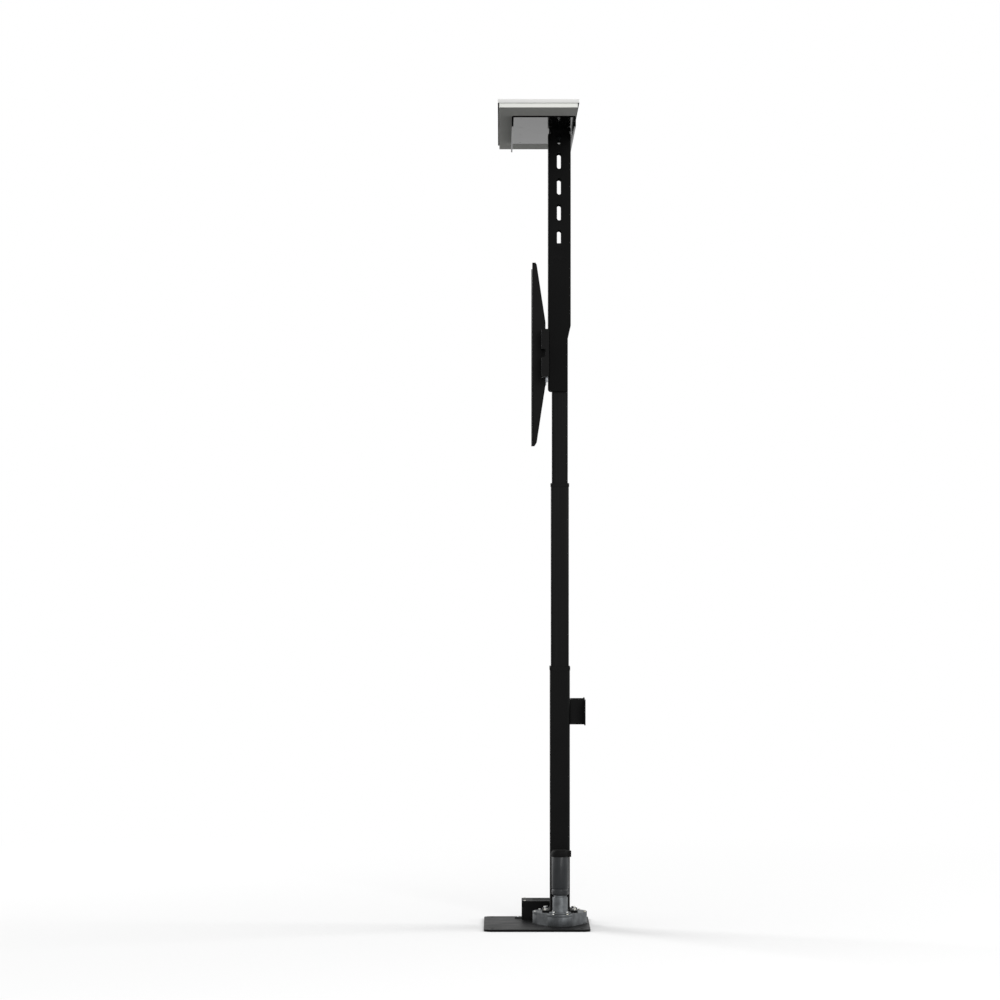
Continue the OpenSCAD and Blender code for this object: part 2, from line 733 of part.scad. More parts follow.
module lower_nut() color(brass)
    flanged_nut(lower_nut_od, lower_flange_od, lower_screw_dia + 2 * run, middle_foot_z);

module screw_bearing() color(steel) bearing(screw_bearing_od, upper_journal + 2 * shaft_gap,
    middle_plug_top - screw_bearing_h, middle_plug_top);

// Inner stage and the carriage on it

module head_bolt_places() for (side = [-1, 1], y = head_bolt_y, z = head_bolt_z)
    translate([side * channel_x, y, head_z0 + z]) rotate([0, side * 90, 0]) children();

module inner_tube() color(black) difference() {
    tube(inner_size, inner_foot_z + shoe_h, inner_top);
    head_bolt_places() translate([0, 0, -channel_x]) cylinder(d = head_bolt + 0.4, h = channel_x);
}

module inner_foot() color(plastic) difference() {
    foot(inner_size, inner_foot_z);
    nut_seat(upper_nut_od, upper_flange_od, inner_foot_z);
    translate([0, 0, inner_foot_z]) cylinder(d = upper_screw_dia + 3, h = foot_h + 1);
}

module upper_nut() color(brass)
    flanged_nut(upper_nut_od, upper_flange_od, upper_screw_dia + 2 * run, inner_foot_z);

// Block that caps the inner tube and fills the channel round it
module column_head() color(black) difference() {
    head_front = channel_in_y + bracket_gap;
    head_back = outer_size[1] / 2;
    along_z(head_z0, head_z1) translate([0, (head_front + head_back) / 2])
        rounded_rect([2 * (channel_in_x - bracket_gap), head_back - head_front], channel_bend);
    along_z(head_z0 - 1, inner_top) rounded_rect(grown(inner_size, seat), tube_corner + seat);
    head_bolt_places() translate([0, 0, -channel_x]) cylinder(d = head_bolt + 2 * seat, h = channel_x);
}

// Countersunk, flush with the channel's sides
module head_bolts() color(black) head_bolt_places()
    flat_screw(head_bolt, channel_x - inner_w / 2 + tube_wall + 3, head_bolt_head);

// Side outline of the channel, in (y, z)
module channel_side() difference() {
    polygon([
        [channel_y, channel_z0], [channel_y + side_depth_low, channel_z0],
        [channel_y + side_depth_low, cutback_z0], [channel_y + side_depth, cutback_z1],
        [channel_y + side_depth, channel_z1], [channel_y, channel_z1],
    ]);
    difference() {
        rect([channel_y - 1, channel_z0 - 1], [channel_y + channel_corner, channel_z0 + channel_corner]);
        translate([channel_y + channel_corner, channel_z0 + channel_corner]) circle(channel_corner);
    }
    for (i = [0 : slot_count - 1])
        translate([slot_y, first_slot_z + i * slot_pitch]) slot_outline(slot_w, slot_len);
    translate([slot_y, (top_slot_z0 + top_slot_z1) / 2])
        slot_outline(bracket_bolt + 1, top_slot_z1 - top_slot_z0);
}

// A folded U seen from its end, open towards +Y, its back past any side outline
module folded_u(half, front, sheet, bend, depth) difference() {
    translate([0, front + depth]) rounded_rect([2 * half, 2 * depth], bend);
    translate([0, front + sheet + depth]) rounded_rect(2 * [half - sheet, depth], bend - sheet);
    rect([-half - 1, front + depth], [half + 1, front + 2 * depth + 2 * sheet]);
}

module carriage_channel() color(black) difference() {
    intersection() {
        along_z(channel_z0, channel_z1)
            folded_u(channel_x, channel_y, channel_sheet, channel_bend, side_depth + 10);
        along_x(-channel_x - 1, channel_x + 1) channel_side();
    }
    stud_places() {
        cylinder(d = stud_dia + 2 * seat, h = 20, center = true);
        translate([0, 0, -channel_sheet - 1])
            cylinder(d = 1.6 * stud_dia + 2 * seat, h = 1 + channel_sheet / 2);
    }
    head_bolt_places() {
        translate([0, 0, -10]) cylinder(d = head_bolt + 0.6, h = 11);
        translate([0, 0, -head_bolt_sink])
            cylinder(d1 = head_bolt + 2 * seat, d2 = head_bolt_head + 2 * seat, h = head_bolt_sink);
    }
}

// Screen mount

// Studs through the channel's front, their +Z forward and their zero on the channel's outer face
module stud_places() for (x = [-1, 1], up = [-1, 1])
    translate([x * stud_x, channel_y, screen_z + up * stud_rise]) rotate([90, 0, 0]) children();

module mount_plate() color(black) difference() {
    half_h = bar_gap / 2 + bar_h - 2;
    window = [65, 60];
    along_y(mount_y, channel_y) difference() {
        translate([0, screen_z]) square([bar_len, 2 * half_h], center = true);
        for (side = [-1, 1], i = [0, 1])
            translate([side * (channel_x + 22 + window[0] / 2 + i * (window[0] + 15)), screen_z])
                rounded_rect(window, 8);
    }
    stud_places() cylinder(d = stud_dia + 0.4, h = 20, center = true);
}

// Upper bar in (y, z): front web with its lip above the top shelf; the lower bar is its mirror image
module bar_section() {
    rect([bar_y, bar_z0], [bar_y + bar_sheet, bar_z1]);
    rect([bar_y, bar_z0], [mount_y, bar_z0 + bar_sheet]);
    rect([bar_y, shelf_z1 - bar_sheet], [mount_y, shelf_z1]);
}
module mirrored_down() translate([0, 0, screen_z]) mirror([0, 0, 1]) translate([0, 0, -screen_z]) children();
module crossbar() difference() {
    along_x(-bar_len / 2, bar_len / 2) bar_section();
    stud_places() translate([0, 0, 5]) cylinder(d = stud_dia + 0.4, h = bar_depth + mount_t + 5);
}
module crossbar_upper() color(black) crossbar();
module crossbar_lower() color(black) mirrored_down() crossbar();

// End cap over both bars and the plate's edge, waisted between the bars, with a plug in each bar
module bar_plug() {
    plug = 8;
    block([bar_len / 2 - plug, bar_y + bar_sheet + seat, bar_z0 + bar_sheet + seat],
        [bar_len / 2, mount_y - seat, shelf_z1 - bar_sheet - seat]);
}
module crossbar_caps() color(plastic) for (side = [0, 1]) mirror([side, 0, 0]) {
    face_t = 3;
    waist = mount_t + 4;
    cap_h = 2 * (bar_z1 - screen_z) + 1.5;
    along_x(bar_len / 2, bar_len / 2 + face_t) difference() {
        translate([(bar_y + channel_y) / 2, screen_z]) rounded_rect([bar_depth + mount_t, cap_h], 1.5);
        polygon([
            [bar_y - 1, bar_z0 + 1], [channel_y - waist, screen_z + bar_gap / 2 - 2],
            [channel_y - waist, screen_z - bar_gap / 2 + 2], [bar_y - 1, 2 * screen_z - bar_z0 - 1],
        ]);
    }
    bar_plug();
    mirrored_down() bar_plug();
}

// Studs pressed flush into the channel from inside
module mount_studs() color(zinc) stud_places() {
    tip = mount_t + bar_depth + nut_washer_t + nut_t + 2;
    translate([0, 0, -channel_sheet]) cylinder(d = stud_dia, h = channel_sheet + tip);
    translate([0, 0, -channel_sheet]) cylinder(d = 1.6 * stud_dia, h = channel_sheet / 2);
}

module mount_nuts() color(zinc) stud_places() translate([0, 0, mount_t + bar_depth]) difference() {
    union() {
        cylinder(d = 2 * stud_dia, h = nut_washer_t);
        cylinder(d = 1.9 * stud_dia, h = nut_washer_t + nut_t, $fn = 6);
    }
    translate([0, 0, -1]) cylinder(d = stud_dia + 2 * seat, h = nut_washer_t + nut_t + 2);
}

// Side outline of a rail in (y, z): tapered to its tips, with notches over the two bars.
// The upper notch keeps a tooth behind the lip; the lower one is open so that the rail swings in.
module rail_side() difference() {
    tip = rail_front + rail_tip_depth;
    polygon([
        for (up = [-1, 1]) each let (outline = [
            [rail_front, rail_half], [tip - tip_chamfer[0], rail_half], [tip, rail_half - tip_chamfer[1]],
            [rail_back, rail_flat],
        ]) [for (i = [0 : 3]) let (p = outline[up < 0 ? i : 3 - i]) [p[0], screen_z + up * p[1]]],
    ]);
    rect([bar_y - run, bar_z0 - run], [rail_back + 1, shelf_z1 + run]);
    rect([bar_y - run, bar_z0 - run], [bar_y + bar_sheet + run, bar_z1 + run]);
    rect([bar_y - run, 2 * screen_z - bar_z1 - 1.5], [rail_back + 1, 2 * screen_z - bar_z0 + run]);
}
module rail(x) translate([x, 0, 0]) difference() {
    union() {
        intersection() {
            along_z(screen_z - rail_half, screen_z + rail_half)
                folded_u(rail_w / 2, rail_front, bar_sheet, rail_bend, rail_depth + 10);
            along_x(-rail_w, rail_w) rail_side();
        }
        block([-rail_w / 2 + bar_sheet / 2, bar_y - 6, catch_z0 - tab_t],
            [rail_w / 2 - bar_sheet / 2, rail_back, catch_z0]);
    }
    along_y(rail_front - 1, rail_front + bar_sheet + 1) for (up = [-1, 1]) {
        for (share = [0.25, 0.5, 1])
            translate([0, screen_z + up * share * screen_h / 2]) circle(d = screen_hole);
        translate([0, screen_z + up * 0.75 * screen_h / 2]) slot_outline(screen_hole, 0.35 * screen_h / 2);
    }
    translate([0, lock_y, catch_z0 - tab_t - 1]) cylinder(d = lock_dia + 0.4, h = tab_t + 2);
}
module rail_left() color(black) rail(-screen_w / 2);
module rail_right() color(black) rail(screen_w / 2);

// Plated catch whose tongue stands behind the lower bar's lip
module lock_catch(x) translate([x, 0, 0]) difference() {
    half = rail_w / 2 - bar_sheet - run;
    front = bar_y + bar_sheet + catch_gap;
    union() {
        block([-half, front, catch_z0], [half, rail_back + 5, catch_z1]);
        block([-half, front, catch_z0], [half, front + bar_sheet, catch_z1 + 6]);
    }
    translate([0, lock_y, catch_z0 - 1]) cylinder(d = lock_dia + 2 * seat, h = 11);
}
module lock_catch_left() color(zinc) lock_catch(-screen_w / 2);
module lock_catch_right() color(zinc) lock_catch(screen_w / 2);

module lock_screw(x) translate([x, lock_y, catch_z0 - tab_t]) rotate([180, 0, 0])
    hex_bolt(lock_dia, tab_t + 9, 3.5);
module lock_screw_left() color(zinc) lock_screw(-screen_w / 2);
module lock_screw_right() color(zinc) lock_screw(screen_w / 2);

// Lid

// Bolts of the lid bracket, one in each side of the channel, heads outside
module bracket_bolt_places() for (side = [-1, 1])
    translate([side * channel_x, slot_y, bracket_bolt_z]) rotate([0, side * 90, 0]) children();
module tray_bolt_places() for (x = [-1, 1], y = tray_bolt_y)
    translate([x * tray_bolt_x, y, core_z0]) children();

module lid_bracket() color(black) difference() {
    out_x = channel_in_x - bracket_gap;
    out_y = channel_in_y + bracket_gap;
    leg_z = bracket_z0 - bracket_leg_drop;
    union() {
        block([-out_x, out_y, bracket_z0], [out_x, channel_y + side_depth, tray_z0]);
        for (side = [0, 1]) mirror([side, 0, 0])
            block([out_x - bracket_leg_t, out_y + 5, leg_z], [out_x, channel_y + side_depth - 4, bracket_z0]);
        block([-out_x + 8, out_y, leg_z], [out_x - 8, out_y + bracket_leg_t, bracket_z0]);
    }
    bracket_bolt_places() translate([0, 0, -15]) cylinder(d = bracket_bolt + 2 * seat, h = 16);
    tray_bolt_places() translate([0, 0, -tray_sheet - bracket_t - 1])
        cylinder(d = tray_bolt + 2 * seat, h = bracket_t + 2);
}

// Button-head bolt with the nut behind the bracket's leg as one piece
module bracket_bolts() color(black) bracket_bolt_places() {
    grip = channel_sheet + bracket_gap + bracket_leg_t;
    translate([0, 0, bracket_gap]) screw(bracket_bolt, grip + 7, 1.75 * bracket_bolt, 3);
    translate([0, 0, -grip - 5]) cylinder(d = 1.85 * bracket_bolt, h = 5, $fn = 6);
}

// Long inverted channel under the lid
module lid_tray() color(black) difference() {
    mid_y = tray_front + tray_d / 2;
    bend = tray_sheet + 1;
    along_x(-tray_len / 2, tray_len / 2) difference() {
        translate([mid_y, core_z0 - 40]) rounded_rect([tray_d, 80], bend);
        translate([mid_y, tray_z0 - 40]) rounded_rect([tray_d - 2 * tray_sheet, 80], bend - tray_sheet);
        rect([tray_front - 1, core_z0 - 90], [tray_front + tray_d + 1, core_z0 - tray_edge]);
    }
    tray_bolt_places() {
        hole = tray_bolt + 2 * seat;
        translate([0, 0, -tray_sheet - 1]) cylinder(d = hole, h = tray_sheet + 2);
        translate([0, 0, -tray_sheet]) cylinder(d1 = hole, d2 = hole + 2 * tray_sheet, h = tray_sheet);
    }
    lid_screw_places() {
        translate([0, 0, -1]) cylinder(d = lid_screw + 0.6, h = tray_sheet + 2);
        cylinder(d1 = lid_screw_head + 2 * seat, d2 = lid_screw + 2 * seat,
            h = (lid_screw_head - lid_screw) / 2);
    }
}

module tray_bolts() color(zinc) tray_bolt_places() {
    grip = tray_sheet + bracket_t;
    flat_screw(tray_bolt, grip + 6, tray_bolt + 2 * tray_sheet);
    translate([0, 0, -grip - 5]) cylinder(d = 1.9 * tray_bolt, h = 5, $fn = 6);
}

module lid_screw_places()
    for (x = [-1, 1], share = lid_screw_x, y = [lid_screw_inset, tray_d - lid_screw_inset])
        translate([x * share * tray_len / 2, tray_front + y, tray_z0]) children();

module lid_core() color(board_white) difference() {
    block([-lid_len / 2 + core_inset, lid_front + core_inset, core_z0],
        [lid_len / 2 - core_inset, lid_front + lid_d - core_inset, panel_z0]);
    lid_screw_places() translate([0, 0, tray_sheet - 1])
        cylinder(d = lid_screw + 2 * seat, h = lid_screw_depth + 1);
}

module lid_panel() color(board_white) difference() {
    edge = 1;
    block([-lid_len / 2, lid_front, panel_z0], [lid_len / 2, lid_front + lid_d, panel_z0 + panel_t]);
    for (side = [-1, 1]) translate([side * lid_len / 2, lid_front + lid_d / 2, panel_z0 + panel_t])
        rotate([0, 45, 0]) cube([edge, lid_d + 2, edge], center = true);
    for (y = [0, lid_d]) translate([0, lid_front + y, panel_z0 + panel_t])
        rotate([45, 0, 0]) cube([lid_len + 2, edge, edge], center = true);
}

module lid_screws() color(black) lid_screw_places() rotate([180, 0, 0])
    flat_screw(lid_screw, tray_sheet + lid_screw_depth - 0.5, lid_screw_head);

base_plate();
gear_case();
gear_cover();
case_screws();
cover_screws();
thrust_bush();
main_bearing();
outer_tube();
outer_collar();
foot_bolts();
rear_brace();
motor_gearhead();
motor_can();
motor_cap();
motor_screws();
control_base();
control_cover();
control_board();
control_sockets();
control_screws();
lower_screw();
hex_driver();
wheel_gear();
motor_pinion();
middle_tube();
middle_collar();
middle_foot();
lower_nut();
screw_bearing();
upper_screw();
inner_tube();
inner_foot();
upper_nut();
column_head();
head_bolts();
carriage_channel();
mount_plate();
crossbar_upper();
crossbar_lower();
crossbar_caps();
mount_studs();
mount_nuts();
rail_left();
rail_right();
lock_catch_left();
lock_catch_right();
lock_screw_left();
lock_screw_right();
lid_bracket();
bracket_bolts();
lid_tray();
tray_bolts();
lid_core();
lid_panel();
lid_screws();
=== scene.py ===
import json
import math

import bmesh
import bpy
from mathutils import Matrix, Vector


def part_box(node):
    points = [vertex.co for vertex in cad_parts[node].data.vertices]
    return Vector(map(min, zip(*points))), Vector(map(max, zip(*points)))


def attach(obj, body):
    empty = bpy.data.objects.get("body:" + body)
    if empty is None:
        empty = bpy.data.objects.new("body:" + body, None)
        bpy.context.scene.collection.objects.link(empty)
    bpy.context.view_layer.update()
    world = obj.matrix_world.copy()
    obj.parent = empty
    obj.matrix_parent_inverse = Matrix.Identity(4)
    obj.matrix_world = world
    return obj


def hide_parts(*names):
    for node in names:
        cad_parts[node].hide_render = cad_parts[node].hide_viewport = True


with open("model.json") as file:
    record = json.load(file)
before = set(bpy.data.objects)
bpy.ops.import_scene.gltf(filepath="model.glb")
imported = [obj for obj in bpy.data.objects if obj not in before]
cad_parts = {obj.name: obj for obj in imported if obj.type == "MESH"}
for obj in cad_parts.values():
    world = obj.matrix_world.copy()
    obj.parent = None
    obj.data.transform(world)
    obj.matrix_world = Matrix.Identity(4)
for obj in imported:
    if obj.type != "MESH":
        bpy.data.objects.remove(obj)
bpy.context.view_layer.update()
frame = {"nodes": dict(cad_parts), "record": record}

# Base plate: 5 mm steel plate, laser cut, deburred and powder coated satin black.
# The whole lift stands on it, and screws through its corner holes hold it to the floor.


class Field:
    """A value that changes over a finish. Sums and products of fields become Math nodes."""

    def __init__(self, tree, socket):
        self.tree = tree
        self.socket = socket

    def node(self, kind, settings, inputs, output=0):
        """Adds a node, its settings first, and gives one of its outputs as a field."""
        made = self.tree.nodes.new(kind)
        for name, value in settings.items():
            setattr(made, name, value)
        for name, value in inputs.items():
            if isinstance(value, Field):
                self.tree.links.new(value.socket, made.inputs[name])
            else:
                made.inputs[name].default_value = value
        return Field(self.tree, made.outputs[output])

    def math(self, operation, first, second):
        return self.node("ShaderNodeMath", {"operation": operation}, {0: first, 1: second})

    def __add__(self, other):
        return self.math("ADD", self, other)

    def __radd__(self, other):
        return self.math("ADD", other, self)

    def __sub__(self, other):
        return self.math("SUBTRACT", self, other)

    def __rsub__(self, other):
        return self.math("SUBTRACT", other, self)

    def __mul__(self, other):
        return self.math("MULTIPLY", self, other)

    def __rmul__(self, other):
        return self.math("MULTIPLY", other, self)


def srgb(code):
    """A colour from its six hex digits, as a shader takes it."""
    parts = [int(code[i:i + 2], 16) / 255 for i in (0, 2, 4)]
    return [p / 12.92 if p < 0.04045 else ((p + 0.055) / 1.055) ** 2.4 for p in parts] + [1.0]


def new_finish(name, settings):
    """A material with its fixed shader settings, and the place on the object as a field."""
    material = bpy.data.materials.new(name)
    material.use_nodes = True
    tree = material.node_tree
    for socket, value in settings.items():
        tree.nodes["Principled BSDF"].inputs[socket].default_value = value
    return material, Field(tree, tree.nodes.new("ShaderNodeTexCoord").outputs["Object"])


def feed(material, **sockets):
    """Links fields to the shader: feed(coat, Base_Color=field)."""
    shader = material.node_tree.nodes["Principled BSDF"]
    for name, field in sockets.items():
        material.node_tree.links.new(field.socket, shader.inputs[name.replace("_", " ")])


def noise(place, size, detail=2.0, stretch=(1, 1, 1)):
    """A soft random field with patches about size metres wide, longer where stretch is over 1."""
    scale = [1 / (size * s) for s in stretch]
    spot = place.node("ShaderNodeVectorMath", {"operation": "MULTIPLY"}, {0: place, 1: scale})
    return place.node("ShaderNodeTexNoise", {}, {"Vector": spot, "Scale": 1.0, "Detail": detail})


def between(field, low=0.3, high=0.7):
    """Widens the middle of a field to 0..1. Most of a noise lies between the two levels given here."""
    return field.node("ShaderNodeMapRange", {}, {"Value": field, "From Min": low, "From Max": high})


def mix(factor, first, second):
    """A colour between two colours."""
    sockets = {0: factor, 6: first, 7: second}
    return factor.node("ShaderNodeMix", {"data_type": "RGBA"}, sockets, 2)


def relief(height, depth, strength):
    """Surface relief, depth metres from its lowest to its highest point."""
    return height.node("ShaderNodeBump", {}, {"Strength": strength, "Distance": depth, "Height": height})


PEEL = 0.003
GRAIN = 0.0007
SHEEN = 0.05


def powder_coat(name, dark, light, dullness=0.4, sheen=SHEEN):
    """Powder coat: a fine grain, a slow orange peel, and a gloss that clouds a little."""
    material, place = new_finish(name, {"Specular IOR Level": sheen})
    cloud = between(noise(place, 0.06))
    peel = noise(place, PEEL)
    grain = noise(place, GRAIN)
    feed(
        material,
        Base_Color=mix(cloud, srgb(dark), srgb(light)),
        Roughness=dullness * (1 + 0.25 * cloud + 0.15 * grain),
        Normal=relief(peel + 0.6 * grain, 0.0008 * dullness ** 2, 0.6),
    )
    return material


SAME_SPOT = 1e-6
FLAT_ANGLE = 0.01
SHARP_ANGLE = math.radians(40)


def dress(material, *names, edge=0.0003, merge_flats=True):
    """Gives CAD nodes their finish, and breaks their sharp edges as deburring or paint does."""
    for name in names:
        node = frame["nodes"][name]
        node.material_slots[0].material = material
        joined = node.modifiers.new("joined", "WELD")
        joined.merge_threshold = SAME_SPOT
        if merge_flats:
            flats = node.modifiers.new("whole_flats", "DECIMATE")
            flats.decimate_type = "DISSOLVE"
            flats.angle_limit = FLAT_ANGLE
        broken = node.modifiers.new("broken_edges", "BEVEL")
        broken.width = edge
        broken.segments = 2
        broken.limit_method = "ANGLE"
        broken.angle_limit = SHARP_ANGLE
        broken.harden_normals = True


black_coat = powder_coat("black_powder_coat", "0c0c0c", "101010")
dress(black_coat, "base_plate", edge=0.0006)

# Gear case and cover: aluminium die castings, tumbled and left dark grey. Each is one teardrop
# shell round the wheel and the pinion, and the cover also carries the column's foot and the motor.


def casting(name, dark, light):
    """Tumbled die casting: pebbled skin, paler where it was rubbed."""
    material, place = new_finish(name, {"Metallic": 0.8})
    rubbed = between(noise(place, 0.02, 4.0), 0.35, 0.65)
    pebble = noise(place, 0.0012, 3.0)
    feed(
        material,
        Base_Color=mix(rubbed, srgb(dark), srgb(light)),
        Roughness=0.62 - 0.12 * rubbed,
        Normal=relief(pebble, 0.00015, 0.7),
    )
    return material


grey_casting = casting("dark_grey_casting", "4a4c4e", "5c5f61")
dress(grey_casting, "gear_case", "gear_cover", edge=0.0008)

# Small screws: cold-headed steel, zinc plated, with a hexagon socket in a low round head, or in a
# sunk one under the gear case. They hold the gear case, its cover, the motor and the control box.


def plated_zinc(name):
    """Bright zinc plate: small crystal patches and a faint straw-coloured bloom."""
    material, place = new_finish(name, {"Metallic": 1.0})
    spangle = noise(place, 0.0009, 1.0)
    bloom = between(noise(place, 0.008), 0.35, 0.75)
    feed(
        material,
        Base_Color=mix(bloom, srgb("b4b8bd"), srgb("b9b4a2")),
        Roughness=0.3 + 0.2 * spangle,
        Normal=relief(spangle, 0.00003, 0.5),
    )
    return material


def solids(node):
    """Lowest and highest corner of each separate solid in a CAD node."""
    shape = bmesh.new()
    shape.from_mesh(frame["nodes"][node].data)
    bmesh.ops.remove_doubles(shape, verts=shape.verts, dist=SAME_SPOT)
    left = set(shape.verts)
    boxes = []
    while left:
        group = [left.pop()]
        for vert in group:
            linked = {edge.other_vert(vert) for edge in vert.link_edges} & left
            left -= linked
            group.extend(linked)
        boxes.append([[pick(v.co[i] for v in group) for i in range(3)] for pick in (min, max)])
    shape.free()
    return [(Vector(low), Vector(high)) for low, high in sorted(boxes)]


ROUND = 24
HEX = 6
UP = Vector((0, 0, 1))
DOWN = -UP


def turned(shape, rings, place=Matrix(), hollow=False):
    """Spins a row of points round Z, each (radius, height, sides), and closes it with two ends or a bore."""
    older = set(shape.verts)
    row = [shape.verts.new((radius, 0, height)) for radius, height, sides in rings]
    line = [shape.edges.new(pair) for pair in zip(row, row[1:] + row[:hollow])]
    bmesh.ops.spin(
        shape, geom=row + line, axis=UP, cent=(0, 0, 0), angle=math.tau, steps=ROUND, use_merge=True
    )
    made = [vert for vert in shape.verts if vert not in older]
    for radius, height, sides in rings:
        if sides == ROUND:
            continue
        for vert in made:
            if abs(vert.co.z - height) < SAME_SPOT and abs(vert.co.xy.length - radius) < SAME_SPOT:
                turn = math.atan2(vert.co.y, vert.co.x) % (math.tau / HEX) - math.pi / HEX
                vert.co.xy = vert.co.xy * math.cos(math.pi / HEX) / math.cos(turn)
    if not hollow:
        rims = [edge for edge in shape.edges if edge.is_boundary and edge.verts[0] not in older]
        bmesh.ops.holes_fill(shape, edges=rims)
    bmesh.ops.transform(shape, matrix=place, verts=made)


CREASE_ANGLE = math.radians(35)


def add_piece(name, shape, material, body, slot, *nodes):
    """Makes a shape a finished piece that rides on a body, in place of the CAD nodes named."""
    bmesh.ops.recalc_face_normals(shape, faces=shape.faces)
    mesh = bpy.data.meshes.new(name)
    shape.to_mesh(mesh)
    shape.free()
    mesh.materials.append(material)
    mesh.shade_smooth()
    mesh.set_sharp_from_angle(angle=CREASE_ANGLE)
    piece = bpy.data.objects.new(name, mesh)
    bpy.context.scene.collection.objects.link(piece)
    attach(piece, body)
    if nodes:
        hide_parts(*nodes)


LOW_HEAD = ((0.97, 0.0), (1.0, 0.1), (1.0, 0.5), (0.88, 0.85), (0.68, 1.0))
SUNK_HEAD = ((1.0, 0.92), (0.96, 1.0))
SOCKET = 0.52
TIP_BREAK = 0.25


def socket_screw(length, head, shank_share, head_share, sunk=False, depth=0.6):
    """Rings of a screw, its tip at zero. The shares are of its head's width, and depth of the head's rise."""
    shank = head * shank_share
    rise = 2 * head * head_share
    seat = length - rise
    rings = [((1 - TIP_BREAK) * shank, 0, ROUND), (shank, TIP_BREAK * shank, ROUND), (shank, seat, ROUND)]
    for wide, up in SUNK_HEAD if sunk else LOW_HEAD:
        rings.append((wide * head, seat + up * rise, ROUND))
    return rings + [(SOCKET * head, length, HEX), (SOCKET * head, length - depth * rise, HEX)]


def standing(low, high, head_side):
    """Where a fastener stands, built up along Z from its tip, and its length and head radius."""
    size = high - low
    along = max(range(3), key=lambda i: abs(head_side[i]))
    length = size[along]
    head = min(size[i] for i in range(3) if i != along) / 2
    tip = (low + high) / 2 - head_side * length / 2
    return Matrix.Translation(tip) @ head_side.to_track_quat("Z", "Y").to_matrix().to_4x4(), length, head


zinc_plate = plated_zinc("zinc_plate")
for node, head_side, shank_share, head_share in (
    ("case_screws", DOWN, 0.5, 0.25),
    ("cover_screws", UP, 0.667, 0.4),
    ("motor_screws", UP, 0.625, 0.406),
    ("control_screws", UP, 0.55, 0.335),
):
    shape = bmesh.new()
    for low, high in solids(node):
        place, length, head = standing(low, high, head_side)
        rings = socket_screw(length, head, shank_share, head_share, sunk=node == "case_screws")
        turned(shape, rings, place)
    add_piece(node.replace("screws", "socket_screws"), shape, zinc_plate, "base", "zinc", node)

# Bronze pieces: the thrust bush under the lower screw and the two flanged nuts, turned from
# bar and left bare. Their fine rings are the lathe's feed marks.


def lathe_turned(name, dark, light, feed_pitch, roughness):
    """Bare metal off the lathe: rings one feed apart round Z, and a patchy bloom."""
    material, place = new_finish(name, {"Metallic": 1.0})
    rings = noise(place, feed_pitch, 1.0, (200, 200, 1))
    bloom = between(noise(place, 0.012, 3.0))
    feed(
        material,
        Base_Color=mix(bloom, srgb(dark), srgb(light)),
        Roughness=roughness + 0.16 * rings + 0.06 * bloom,
        Normal=relief(rings, 0.00002, 0.6),
    )
    return material


bronze = lathe_turned("turned_bronze", "a07a42", "c09a5e", 0.0003, 0.24)
dress(bronze, "thrust_bush", "lower_nut", "upper_nut")

# Ball bearings, the hex driver and the motor's pinion: hardened steel, ground bright.
# The bearings are pressed into the gear cover and the middle foot.
ground_steel = lathe_turned("ground_steel", "a5a9ad", "bcc0c4", 0.0002, 0.18)
dress(ground_steel, "main_bearing", "screw_bearing", "hex_driver", edge=0.0002)
dress(ground_steel, "motor_pinion", edge=0.0001)

# Lead screws: rolled steel bars with a four-start trapezoid thread. The lower one turns in the
# gear case; the upper one is hollow, and the hex driver slides and turns in its hexagon bore.
FLANK_FOOT = 0.32
FLANK_TOP = 0.48
CREST_END = 0.84
SEAM = 3e-5
CUT_SNAP = 1e-7
ON_CUT = 1e-5


def thread(crest, root, pitch, starts, low, high, sides=32):
    """A threaded bar round Z, cut square at both ends. Gives its shape and the edges of both cuts."""
    shape = bmesh.new()
    lead = pitch * starts
    rows = []
    for start in range(starts):
        for radius, share in ((root, 0), (root, FLANK_FOOT), (crest, FLANK_TOP), (crest, CREST_END)):
            rows.append(shape.verts.new((radius, 0, low - lead + (start + share) * pitch)))
    rows.append(shape.verts.new((root, 0, low)))
    line = [shape.edges.new(pair) for pair in zip(rows, rows[1:])]
    turns = math.ceil((high - low) / lead) + 1
    bmesh.ops.spin(
        shape,
        geom=rows + line,
        axis=UP,
        cent=(0, 0, 0),
        dvec=UP * lead / sides,
        angle=math.tau * turns,
        steps=sides * turns,
        use_merge=False,
    )
    bmesh.ops.remove_doubles(shape, verts=shape.verts, dist=SEAM)
    for height, away in ((low, DOWN), (high, UP)):
        geom = shape.verts[:] + shape.edges[:] + shape.faces[:]
        bmesh.ops.bisect_plane(
            shape, geom=geom, dist=CUT_SNAP, plane_co=(0, 0, height), plane_no=away, clear_outer=True
        )
    rims = [edge for edge in shape.edges if edge.is_boundary]
    return shape, [[e for e in rims if abs(e.verts[0].co.z - height) < ON_CUT] for height in (low, high)]


couplings = {c["joint"]: c["ratio"] for c in frame["record"]["behaviour"]["couplings"]}
LEAD = math.tau / abs(couplings["drive_screw_turn"])
STARTS = 4
THREAD_DEPTH = 0.0018
SCREW = 0.007
SCREW_ROOT = SCREW - THREAD_DEPTH
JOURNAL = 0.005
WHEEL_SEAT = 0.008
WHEEL_SHOULDER = 0.001
COLLAR = 0.010
BEARING_SEAT = 0.0075
BEARING_GAP = 0.0003
END_BREAK = 0.0005
RUN_OUT = 0.004
screw_low, screw_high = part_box("lower_screw")
wheel_low, wheel_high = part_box("wheel_gear")
bearing_low, bearing_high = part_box("main_bearing")
driver_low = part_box("hex_driver")[0]
thread_low = bearing_high.z + RUN_OUT
thread_high = driver_low.z - RUN_OUT
shape, ends = thread(SCREW, SCREW_ROOT, LEAD / STARTS, STARTS, thread_low, thread_high)
for edges in ends:
    bmesh.ops.edgeloop_fill(shape, edges=edges)
